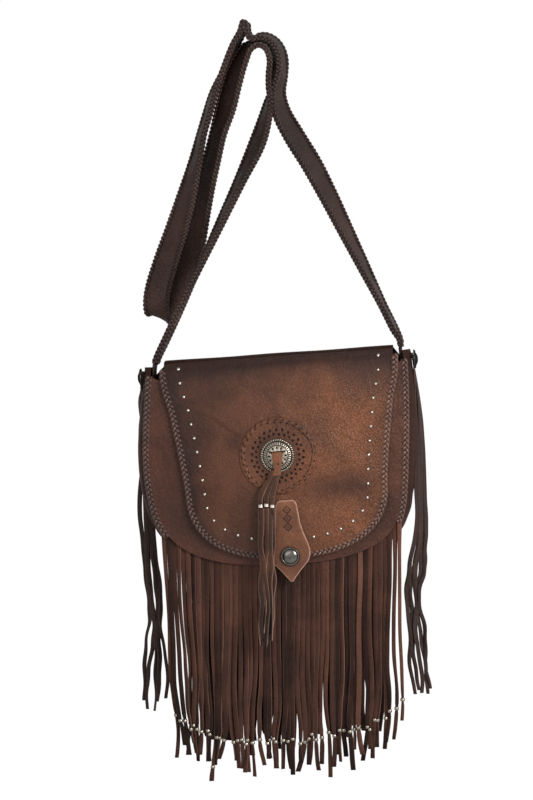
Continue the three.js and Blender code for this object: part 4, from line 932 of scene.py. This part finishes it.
# The metal: cast parts plated in antique silver, and the dark nickel of the snap and the side
# conchos. Tarnish stays in what is cut into them, and small scratches blur their shine. On the
# studs and the beads the same darkening is painted: painted shade round the studs' foot and a
# painted dark reflection on the beads' lips.
def plated(name, bright, tarnish, rough=0.24, grazed=(1, 1, 1)):
    material, shader, place = finish_named(name)
    tree = place.tree
    recess = place.node("ShaderNodeAttribute", {"attribute_name": "recess"}, None, 2)
    blotches = place.node("ShaderNodeTexNoise", None, {"Vector": place, "Scale": 260.0, "Detail": 4.0})
    scratches = place.node("ShaderNodeTexNoise", None, {"Vector": place, "Scale": 1400.0, "Detail": 2.0})
    depth = recess + blotches.between(0.52, 0.8) * 0.3
    tree.links.new(depth.blend(bright, tarnish).socket, shader.inputs["Base Color"])
    tree.links.new((depth * 0.3 + blotches * 0.12 + (rough - 0.06)).socket, shader.inputs["Roughness"])
    bump = scratches.node("ShaderNodeBump", None, {"Strength": 0.25, "Distance": 0.0001, "Height": scratches})
    tree.links.new(bump.socket, shader.inputs["Normal"])
    shader.inputs["Metallic"].default_value = 1
    shader.inputs["Specular Tint"].default_value = (*grazed, 1)
    return material


antique_silver = plated("antique_silver", (0.3, 0.26, 0.21), (0.016, 0.013, 0.01))
bright_silver = plated("bright_silver", (0.62, 0.55, 0.49), (0.02, 0.016, 0.012), 0.14)
dark_nickel = plated("dark_nickel", (0.05, 0.047, 0.043), (0.008, 0.008, 0.007), 0.3, (0.12, 0.115, 0.11))


RELIEF_DEEP = 0.35


def turned(name, profile, finish, relief=None, rings=60, around=144, under=0.5):
    """A turned piece on its own axis: its top from the middle out, with relief cut in, and a flat back."""
    radius, height = np.array(profile, float).T
    length = np.concatenate([[0], np.cumsum(np.hypot(np.diff(radius), np.diff(height)))])
    at = np.linspace(0, length[-1], rings)
    r, h = np.interp(at, length, radius)[:, None], np.interp(at, length, height)[:, None]
    angle = np.linspace(0, math.tau, around, endpoint=False)[None]
    cut = relief(r, angle) if relief else 0 * r * angle
    top = np.stack([r * np.cos(angle), r * np.sin(angle), h - cut + 0 * angle], 2)
    back = top[-1] * (1, 1, 0) - (0, 0, under)
    poles = [[0, 0, profile[0][1] - cut[0, 0]], [0, 0, -under]]
    places = np.concatenate([top[1:].reshape(-1, 3), back, poles])
    index = np.arange(rings * around).reshape(rings, around)
    faces = tube_faces(index)
    crown, heel = len(places) - 2, len(places) - 1
    faces += [[crown, int(p), int(q)] for p, q in zip(index[0], np.roll(index[0], -1))]
    faces += [[heel, int(q), int(p)] for p, q in zip(index[-1], np.roll(index[-1], -1))]
    piece = mesh_piece(name, places * MM, faces, finish)
    paint(piece, recess=np.r_[np.clip(cut[1:] / RELIEF_DEEP, 0, 1).ravel(), np.zeros(around + 2)])
    return piece


def seat(u, v, face=flap_face, foot=2.0):
    """Where a fitting with a small foot sits on a face, and the direction it faces there."""
    rise_u = (face(u + foot, v) - face(u - foot, v)) / (2 * foot)
    rise_v = (face(u, v + foot) - face(u, v - foot)) / (2 * foot)
    out = rise_u * ALONG + rise_v * UPWARD + np.array((0, -1.0, 0))
    return hung(u, -face(u, v), v), out / np.linalg.norm(out)


def mounted(piece, place, out, up=UPWARD):
    """Stands a piece, made on its own axis, on a place, facing out."""
    z = np.array(out)
    x = np.cross(up, z)
    x /= np.linalg.norm(x)
    y = np.cross(z, x)
    co = np.zeros(len(piece.data.vertices) * 3)
    piece.data.vertices.foreach_get("co", co)
    co = co.reshape(-1, 3) @ np.array([x, y, z]) + place
    piece.data.vertices.foreach_set("co", co.ravel())
    piece.data.update()
    return piece


# The studs: small bright domes pressed through the leather in a row inside the flap's lacing.
# The dark ring round each dome's foot, cut in a little and darkened through the recess attribute, is painted
# shade.
dome = turned(
    "stud_dome", [(0, 1.9), (0.9, 1.65), (1.55, 0.9), (1.75, 0.3), (2.2, 0.2), (2.3, 0)], bright_silver,
    lambda r, a: 0.3 * np.clip((r - 1.5) / 0.3, 0, 1) + 0 * a, 12, 16,
)
studding = tree_named("studding", {"Dome": "Object", "Metal": "Material"})
seats = studding["Geometry"].node("GeometryNodeMeshToPoints", None, {"Mesh": studding["Geometry"]})
one = studding["Dome"].node("GeometryNodeObjectInfo", None, {"Object": studding["Dome"]}, "Geometry")
turn_out = seats.node(
    "FunctionNodeAlignRotationToVector", {"axis": "Z"}, {"Vector": named_vector(seats, "face")}
)
set_in = seats.node(
    "GeometryNodeInstanceOnPoints", None, {"Points": seats, "Instance": one, "Rotation": turn_out}
)
stud_tree = close_tree(set_in, studding["Metal"])


def set_pieces(name, places, facings, pattern, finish):
    """A copy of the pattern on each place, facing its own way, all as one piece."""
    start = paths_piece(name, [(np.array(places), np.array((0, 0, 1.0)), np.array(facings))])
    return plain_mesh(start, stud_tree, Dome=pattern, Metal=finish)


stud_nodes = [n for n in frame["nodes"] if n.startswith("stud_")]
stud_places, stud_facings = [], []
for node in stud_nodes:
    low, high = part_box(node)
    middle = np.array((low + high) / 2) - TOP_MIDDLE
    u, v = middle @ ALONG / MM, middle @ UPWARD / MM
    place, out = seat(u, v)
    stud_places.append(place)
    stud_facings.append(out)
studs = set_pieces("studs", stud_places, stud_facings, dome, bright_silver)
bpy.data.objects.remove(dome)
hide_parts(*stud_nodes)
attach(studs, "flap")


# The beads: a small silver ring closed on each front strand near its end.
# Its top and bottom lips are cut in a little and darkened through the recess attribute, as a painted dark
# reflection.
bead = turned(
    "bead_ring", [(1.7, 3.6), (2.3, 3.1), (2.55, 1.8), (2.3, 0.5), (1.7, 0)], bright_silver,
    lambda r, a: 0.3 * np.clip((2.35 - r) / 0.3, 0, 1) + 0 * a, 12, 14, 0,
)
bead_places, bead_facings = [], []
for middle, drop in zip(front_middles, bead_drops):
    fallen = (middle[0, 2] - middle[:, 2]) / MM - ABOVE_SEAM
    place, below = (
        np.array([np.interp(at, fallen, middle[:, axis]) for axis in range(3)]) for at in (drop, drop + 5)
    )
    bead_places.append(place)
    bead_facings.append((below - place) / np.linalg.norm(below - place))
beads = set_pieces("beads", bead_places, bead_facings, bead, antique_silver)
bpy.data.objects.remove(bead)
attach(beads, "bag")


# The rosette: a round patch of the flap's leather with two rings of punched holes round the
# concho and a ridge near its rim, stitched down with short laces.
CONCHO_U, CONCHO_V = -6.4, -106.4
ROSETTE_R, ROSETTE_THICK = 41, 1.3
ROSETTE_RINGS, ROSETTE_AROUND = 84, 360
PUNCHED, HOLE_R = 26, 1.45
STITCHES = 32
ring_r = np.linspace(0.5, ROSETTE_R, ROSETTE_RINGS)[:, None]
ring_a = np.linspace(0, math.tau, ROSETTE_AROUND, endpoint=False)[None]
rose_x, rose_z = ring_r * np.cos(ring_a), ring_r * np.sin(ring_a)
holes = 0 * rose_x
for radius, shift in ((22.6, 0), (27.0, 0.5)):
    for k in range(PUNCHED):
        a = math.tau * (k + shift) / PUNCHED
        wander = radius + 0.45 * math.sin(2.4 * k + radius)
        near = np.hypot(rose_x - wander * math.cos(a), rose_z - wander * math.sin(a))
        holes = np.maximum(holes, np.clip((HOLE_R - near) / 0.5, 0, 1))
wobble = ring_r - 0.7 * np.sin(3 * ring_a + 1) - 0.4 * np.sin(7 * ring_a)
slits = 0 * holes
for radius, shift in ((35.4, 0.0), (38.2, 1.7)):
    dash = np.clip(np.sin(ring_a * STITCHES + shift + (wobble - radius) * 0.5) * 4 - 1.4, 0, 1)
    slits = np.maximum(slits, dash * mound(wobble, radius, 0.6))
ridge = mound(wobble, 36.8, 1.5) * (0.75 + 0.35 * np.cos(ring_a * STITCHES + 0.8))
rim_down = np.clip((ring_r - 39.4) / 1.6, 0, 1) * ROSETTE_THICK * 1.2
lift = ROSETTE_THICK + ridge - 1.2 * holes - 0.8 * slits - rim_down
rose_u, rose_v = CONCHO_U + rose_x, CONCHO_V + rose_z
rose_top = hung(rose_u, -(flap_face(rose_u, rose_v) + lift), rose_v)
rose_places = np.concatenate([rose_top, rose_top[-1:] + np.array((0, 0.6 * MM, 0))])
index = np.arange(rose_places.size // 3).reshape(-1, ROSETTE_AROUND)
rose_faces = tube_faces(index) + [index[0].tolist(), index[-1][::-1].tolist()]
rose = mesh_piece("rosette_leather", rose_places, rose_faces, hide_leather)
# Painted shade: the punched holes, the slits and a ring just round the concho are darkened. Painted light:
# the rosette is lighter on its right and along its ridge.
rose_shade = np.clip(holes * 2.2 + slits * 1.1 + 0.25 * mound(ring_r, 20, 4) + 0.1, 0, 1)
rose_painted_light = 0.36 + 0.22 * np.cos(ring_a) + 0.2 * ridge
paint(
    rose,
    warm=np.r_[rose_painted_light.ravel(), np.zeros(ROSETTE_AROUND)],
    shade=np.r_[rose_shade.ravel(), np.full(ROSETTE_AROUND, 0.6)],
)
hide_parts("rosette")
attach(rose, "flap")


# The concho: a cast dome of antique silver, with a roped rim, a ring of rays and petals round
# a plain crown, and a slot for the tassel's strip.
CONCHO_R = 17.8
CONCHO_SEAT = ROSETTE_THICK + 0.7
SLOT_HALF, SLOT_V, SLOT_HIGH, SLOT_DEEP = 6.3, 3.6, 1.4, 3.2


def concho_cuts(r, a):
    """How deep the dome is cut at each radius and angle."""
    rope = 0.55 * np.clip(np.sin(a * 44 + r * 0.9), 0, 1) * mound(r, 16.6, 1.0, 4)
    groove = 0.6 * mound(r, 15.0, 0.45) + 0.5 * mound(r, 11.2, 0.4)
    rays = 0.5 * np.clip(np.sin(a * 36), 0, 1) * mound(r, 13.1, 1.3, 4)
    petals = 0.45 * np.clip(0.35 + np.cos(a * 12) - np.abs(r - 8.6) * 0.55, 0, 1) * (r < 10.8) * (r > 5.6)
    veins = 0.35 * np.clip(np.sin(a * 24) * 2 - 1, 0, 1) * mound(r, 4.2, 1.4)
    inside = SLOT_HALF - np.abs(r * np.cos(a)), SLOT_HIGH - np.abs(r * np.sin(a) - SLOT_V)
    slot = np.clip(inside[0] / 0.5, 0, 1) * np.clip(inside[1] / 0.5, 0, 1)
    return np.maximum(rope + groove + rays + petals + veins, SLOT_DEEP * slot)


concho_profile = [(0, 4.9), (4, 4.75), (8, 4.1), (11, 3.2), (13.5, 2.2), (15, 1.6), (16.4, 1.9), (17.4, 1.3)]
concho_profile += [(CONCHO_R, 0.3), (CONCHO_R, 0)]
concho = turned("concho_dome", concho_profile, antique_silver, concho_cuts, 110, 360)
concho_place, concho_out = seat(CONCHO_U, CONCHO_V)
mounted(concho, concho_place + concho_out * CONCHO_SEAT * MM, concho_out)
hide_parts("concho")
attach(concho, "flap")


# The centre tassel: one strip of lighter leather that comes out of the concho's slot, with a
# punched hole where it turns down, and is cut into three stems that go through metal crimps
# and end in thongs.
TASSEL_THICK = 1.6
LEAD_STATIONS, STEM_STATIONS, THONG_STATIONS = 44, 30, 60
STEM_U, STEM_HALF, STEMS_APART = -2, 2.7, 6.1
tassel_leather = leather(
    "tassel_leather", (0.014, 0.0068, 0.0053), (0.104, 0.042, 0.0245), (0.26, 0.1, 0.047),
    grain=0.35, dull=0.48, gloss=0.22, pale=(0.44, 0.25, 0.18),
)
cut_edge = leather(
    "cut_edge", (0.16, 0.08, 0.055), (0.34, 0.19, 0.135), (0.5, 0.31, 0.23), grain=0.2, dull=0.6, gloss=0.2
)
concho_face = flap_face(CONCHO_U, CONCHO_V) + CONCHO_SEAT
tassel_ahead = concho_face + 4.9


def tassel_place(u, below, ahead):
    """A place from the concho's middle, at a distance ahead of the bag's middle plane."""
    return hung(CONCHO_U + u, -ahead, CONCHO_V - below)


# Each row is across, down and ahead of the concho's crown, and half the strip's width there.
LEAD_ROUTE = (
    (0, -2.4, -3.4, 5.4), (0, -2.3, 0.3, 5.4), (0, 2.5, 1.3, 5.2), (0, 9, 1.0, 4.0), (-0.5, 14, 0.6, 3.4),
    (STEM_U, 20, 0.4, 4.2),
)
lead_points = [[*tassel_place(u, below, tassel_ahead + up), wide] for u, below, up, wide in LEAD_ROUTE]
lead = flowing(lead_points, LEAD_STATIONS)
lead_middle, lead_wide = lead[:, :3], lead[:, 3:] * MM
s = np.linspace(-1, 1, 33)
lead_net = lead_middle[:, None] + lead_wide[:, None] * s[None, :, None] * ALONG
lead_net[..., 1] += 0.35 * MM * (s**2)[None]
along_lead = np.linspace(0, 1, LEAD_STATIONS)[:, None]
hole = np.clip(1.5 - np.hypot(s[None] * lead_wide / MM, (along_lead - 0.56) * 30) / 1.3, 0, 1)
lead_net[..., 1] += 0.9 * MM * hole
lead_piece = cut_sheet("tassel_strip", lead_net, TASSEL_THICK, (0, -1, 0), tassel_leather, cut_edge)
# Painted shade fills the dent that stands for the punched hole; the strip is also warmer near the concho and
# less warm further down.
paint(lead_piece, warm=0.55 - 0.3 * along_lead + 0 * hole, shade=np.clip(hole * 1.5, 0, 0.95))

STEM_DOWN = (15, 24, 34, 43, 52, 66)
crimp_spots, stem_middles, stem_edges = [], [], []


def stem_place(s, fallen):
    """Where the middle of a stem, or of the thongs under it, is at a distance below the concho."""
    spread = eased(np.clip((fallen - 15) / 28, 0, 1))
    across = s * (STEM_HALF + (STEMS_APART - STEM_HALF) * spread) - 9 * spread
    place = tassel_place(STEM_U, 0, tassel_ahead + 0.4 - 0.03 * max(0, fallen - 50))
    return place + MM * np.array((across, 0, -fallen))


for s in (-1, 0, 1):
    stem_middles.append(flowing([stem_place(s, fallen) for fallen in STEM_DOWN], STEM_STATIONS))
    narrows = np.interp(np.linspace(0, 1, STEM_STATIONS), (0, 0.45, 0.7, 1), (2.0, 3.0, 2.2, 1.7))
    stem_edges.append(MM * narrows[:, None] * np.array((1, 0.1 * s, 0)))
    crimp_spots.append((stem_place(s, 49 + abs(s)), stem_place(s, 53 + abs(s))))
THONGS, THONG_LONG = 7, 194
t = np.linspace(0, 1, THONG_STATIONS)
for i in range(THONGS):
    s = 2 * i / (THONGS - 1) - 1
    long = THONG_LONG + rng.normal(0, 6)
    layer = -0.75 if i % 2 else 0.75
    points = []
    for k, fallen in enumerate(np.linspace(54, long, 8)):
        stray = rng.normal(0, 0.9) * (k > 1), layer - 0.3 * k + rng.normal(0, 0.4), 0
        points.append(stem_place(s * 1.12, fallen) + MM * np.array(stray))
    turned_by = rng.normal(0, 0.2) + rng.normal(0, 0.7) * t**2
    half = MM * rng.uniform(1.9, 2.4) * (1 - 0.25 * t**6)
    stem_middles.append(flowing(points, THONG_STATIONS))
    stem_edges.append(np.stack([np.cos(turned_by) * half, np.sin(turned_by) * half, 0 * half], 1))
thongs = strips("tassel_thongs", stem_middles, stem_edges, TASSEL_THICK * MM, tassel_leather)
tones = []
for middle in stem_middles:
    fallen = (stem_middles[0][0, 2] - middle[:, 2]) / (THONG_LONG * MM)
    light = rng.uniform(0.1, 0.55) * np.clip(1 - fallen, 0.1, 1)
    dark = rng.uniform(0, 0.25) + 0.75 * np.clip(fallen - 0.15, 0, 1) ** 0.8
    dark = dark + (0.5 if len(tones) < len(crimp_spots) else 0.12)
    tones.append(np.stack([light, dark, rng.uniform(0.5, 1) + 0 * dark], 1))
tone_strips(thongs, tones, 0.75)
for piece in (lead_piece, thongs):
    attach(piece, "flap")
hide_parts("centre_tassel")

crimp_profile = [(2.35, 3.6), (2.85, 3.1), (2.6, 1.8), (2.85, 0.5), (2.35, 0)]
for k, (top, under) in enumerate(crimp_spots):
    way = (under - top) / np.linalg.norm(under - top)
    crimp = turned(f"crimp_ring_{k + 1}", crimp_profile, bright_silver, None, 14, 24, 0)
    mounted(crimp, top, way, np.array((0, -1.0, 0)))
    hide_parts(f"crimp_{k + 1}")
    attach(crimp, "flap")


# The closure tab: a shaped tongue of smooth tan leather over the flap's bottom edge, with pale
# cut edges, three small stamped diamonds and the snap's cap near its point.
TAB_THICK, STAMPED_DEEP = 2.4, 0.5
FLAP_ENDS = -206.0
DIAMONDS_DOWN = (163, 172, 181)
SNAP_V = -211.8
TAB_HALF = (
    (153, 6.5), (154.2, 9.2), (157, 10.8), (166, 12.0), (178, 13.2), (190, 16.6), (199, 19.9), (206, 21.5),
    (212, 21.0), (217, 19.2), (222, 14.6), (228, 9.2), (234, 4.4), (238.2, 1.2),
)
tab_depth, tab_half = np.array(TAB_HALF, float).T
rows_down = np.linspace(tab_depth[0], tab_depth[-1], 150)
tab_wide = np.interp(rows_down, tab_depth, tab_half)[:, None]
tab_s = np.linspace(-1, 1, 61)[None]
tab_u, tab_v = TAB_U + tab_s * tab_wide, -rows_down[:, None] + 0 * tab_s


def tab_back(u, v):
    """The tab lies on the flap and, past the flap's edge, carries straight on."""
    carried = flap_face(u * 0 + TAB_U, v * 0 + FLAP_ENDS) - 1.5
    return np.maximum(flap_face(u, np.maximum(v, FLAP_ENDS)), carried) + 0.5


stamped = np.zeros_like(tab_u)
for down_by in DIAMONDS_DOWN:
    far = np.abs(tab_u - TAB_U) / 3.9 + np.abs(-tab_v - down_by) / 4.0
    stamped = np.maximum(stamped, np.maximum(mound(far, 1, 0.22), mound(far, 0, 0.3)))
from_edge = np.minimum(tab_wide * (1 - np.abs(tab_s)), (rows_down - tab_depth[0])[:, None])
worn = mound(from_edge, 0, 1)
tab_ahead = tab_back(tab_u, tab_v) + TAB_THICK - STAMPED_DEEP * (stamped + worn)
tab_net = hung(tab_u, -tab_ahead, tab_v)
tab = cut_sheet("tab_tongue", tab_net, TAB_THICK, (0, -1, 0), tassel_leather, cut_edge)
# Painted shade: a dark ring round the snap cap's foot.
snap_shadow = mound(np.hypot(tab_u - TAB_U, tab_v - SNAP_V), 10, 1.2)
paint(
    tab,
    warm=0.45 - 0.3 * mound(tab_v, -225, 12) + 0.25 * mound(tab_v, -190, 12),
    pale=np.concatenate([worn, 0 * worn]),
    shade=np.clip(0.75 * stamped + 0.35 * snap_shadow, 0, 0.9),
)
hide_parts("closure_tab")
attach(tab, "flap")

snap_nickel = plated("snap_nickel", (0.13, 0.12, 0.11), (0.01, 0.01, 0.009), 0.14)
snap_profile = [(0, 3.3), (3, 3.15), (5.5, 2.7), (7.2, 1.9), (7.7, 1.7), (8.3, 2.3), (9.1, 2.3), (9.7, 1.5)]
snap_profile += [(9.8, 0.4), (9.8, 0)]
snap = turned("snap_dome", snap_profile, snap_nickel, lambda r, a: 0.28 * mound(r, 7.6, 0.35) + 0 * a, 70, 96)
snap_place, snap_out = seat(TAB_U, SNAP_V, tab_back)
mounted(snap, snap_place + snap_out * (TAB_THICK + 0.35) * MM, snap_out)
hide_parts("snap_cap")
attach(snap, "flap")
for node in ("snap_socket", "snap_stud", "side_screw_left", "side_screw_right"):
    frame["nodes"][node].data.materials.clear()
    frame["nodes"][node].data.materials.append(dark_nickel)


# The sides: a small dark concho screwed through the gusset and the strap's end at each side,
# and under it a tassel of long thongs.
SIDE_DOWN, SIDE_R = 16, 10
side_profile = [(0, 4), (3, 3.7), (5.6, 2.6), (7.2, 1.5), (8.2, 1.7), (9.4, 1.2), (SIDE_R, 0.3), (SIDE_R, 0)]


def side_cuts(r, a):
    """Rays round the rim, inside a groove."""
    return 0.4 * np.clip(np.sin(a * 20), 0, 1) * mound(r, 8.6, 0.9, 4) + 0.4 * mound(r, 7.2, 0.4)


# Each course says how far down, out and back a tassel's middle line passes, how wide it fans
# and which way its strands turn.
RIGHT_COURSE = (
    (8, 0, 0, 4.6, 0), (40, 4, 0, 5, 0.2), (75, 7, 0, 5, 0.6), (130, 8, 0, 5.4, 0.9), (180, 8, -2, 6, 1.1),
    (215, 4, -3, 7, 1.2), (240, 1, -3, 7, 1.3), (290, 4, -2, 7, 1.3), (348, 11, 0, 8, 1.3),
)
LEFT_COURSE = (
    (10, 0, 0, 4.6, 0), (24, 2.5, 9, 4, -0.3), (48, 0.5, 21, 4, -0.8), (80, -2, 31, 5, -1.3),
    (140, -2, 34, 6, -1.5), (200, -4, 33, 6, -1.5), (250, -9, 31, 7, -1.4), (290, -11, 30, 8, -1.4),
    (349, -8, 30, 12, -1.4),
)
SIDE_THONGS, SIDE_LONG, SIDE_STATIONS = 5, 350, 90
UNDER_DISC = 1.15
side_leather = leather(
    "side_leather", (0.009, 0.006, 0.0055), (0.026, 0.015, 0.0125), (0.06, 0.03, 0.022),
    grain=0.35, dull=0.55, gloss=0.18,
)
t = np.linspace(0, 1, SIDE_STATIONS)
fallen = SIDE_LONG * t
loose = np.clip((fallen - 120) / 160, 0, 1)
for side, hand, course in ((1, "right", RIGHT_COURSE), (-1, "left", LEFT_COURSE)):
    disc = turned(f"side_dome_{hand}", side_profile, dark_nickel, side_cuts, 60, 120)
    outward = side * ALONG
    mounted(disc, hung(gusset_side(side, SIDE_DOWN) + side * 2.5, 0, -SIDE_DOWN), outward)
    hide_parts(f"side_concho_{hand}")
    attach(disc, "bag")
    middles, edges, tones = [], [], []
    for i in range(SIDE_THONGS):
        s = 2 * i / (SIDE_THONGS - 1) - 1
        points = []
        for k, (drop, out, back, fan, turn) in enumerate(course):
            held, layer = (drop, 0) if k == 0 else (0, (i % 2) * 1.9)
            place = hung(gusset_side(side, SIDE_DOWN + held) + side * UNDER_DISC, 0, -SIDE_DOWN - held)
            stray = rng.normal(0, 1.0) if k > 2 else 0
            across = side * (out + layer * math.cos(turn)) + fan * s * math.sin(turn) + stray
            behind = back + fan * s * math.cos(turn) + layer * math.sin(turn)
            place = place + MM * np.array((across, behind, held - drop))
            points.append([*place, math.sin(turn), math.cos(turn)])
        course_line = flowing(points, SIDE_STATIONS)
        wander = rng.uniform(0.8, 2.4) * swing(fallen, 110, 60) + 0.5 * swing(fallen, 40, 25)
        course_line[:, 0] += MM * loose * wander
        course_line[:, 1] += MM * loose * rng.uniform(0.5, 2) * swing(fallen, 100, 60)
        course_line[:, 2] -= rng.normal(0, 4) * MM * loose
        twist = loose * rng.uniform(0.3, 1.1) * swing(fallen, 120, 60)
        half = 2.6 * MM * rng.uniform(0.9, 1.1) * (1 - 0.25 * t**8)
        direction = np.arctan2(course_line[:, 4], course_line[:, 3]) + twist
        middles.append(course_line[:, :3])
        edges.append(np.stack([np.cos(direction) * half, np.sin(direction) * half, 0 * half], 1))
        tones.append(np.ones((SIDE_STATIONS, 1)) * (0.6 * rng.random(), 0.5 * rng.random(), rng.random()))
    tassel = strips(f"{hand}_thongs", middles, edges, TASSEL_THICK * MM, side_leather)
    tone_strips(tassel, tones, 0.4)
    head_down, head_back = np.linspace(-7, 11, 20)[:, None], np.linspace(-7, 7, 16)[None]
    head_net = hung(gusset_side(side, SIDE_DOWN + head_down) + side * 1.95, head_back, -SIDE_DOWN - head_down)
    head = cut_sheet(f"{hand}_tassel_head", head_net, TASSEL_THICK, side * ALONG, side_leather)
    for piece in (tassel, head):
        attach(piece, "bag")
    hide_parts(f"{hand}_tassel")
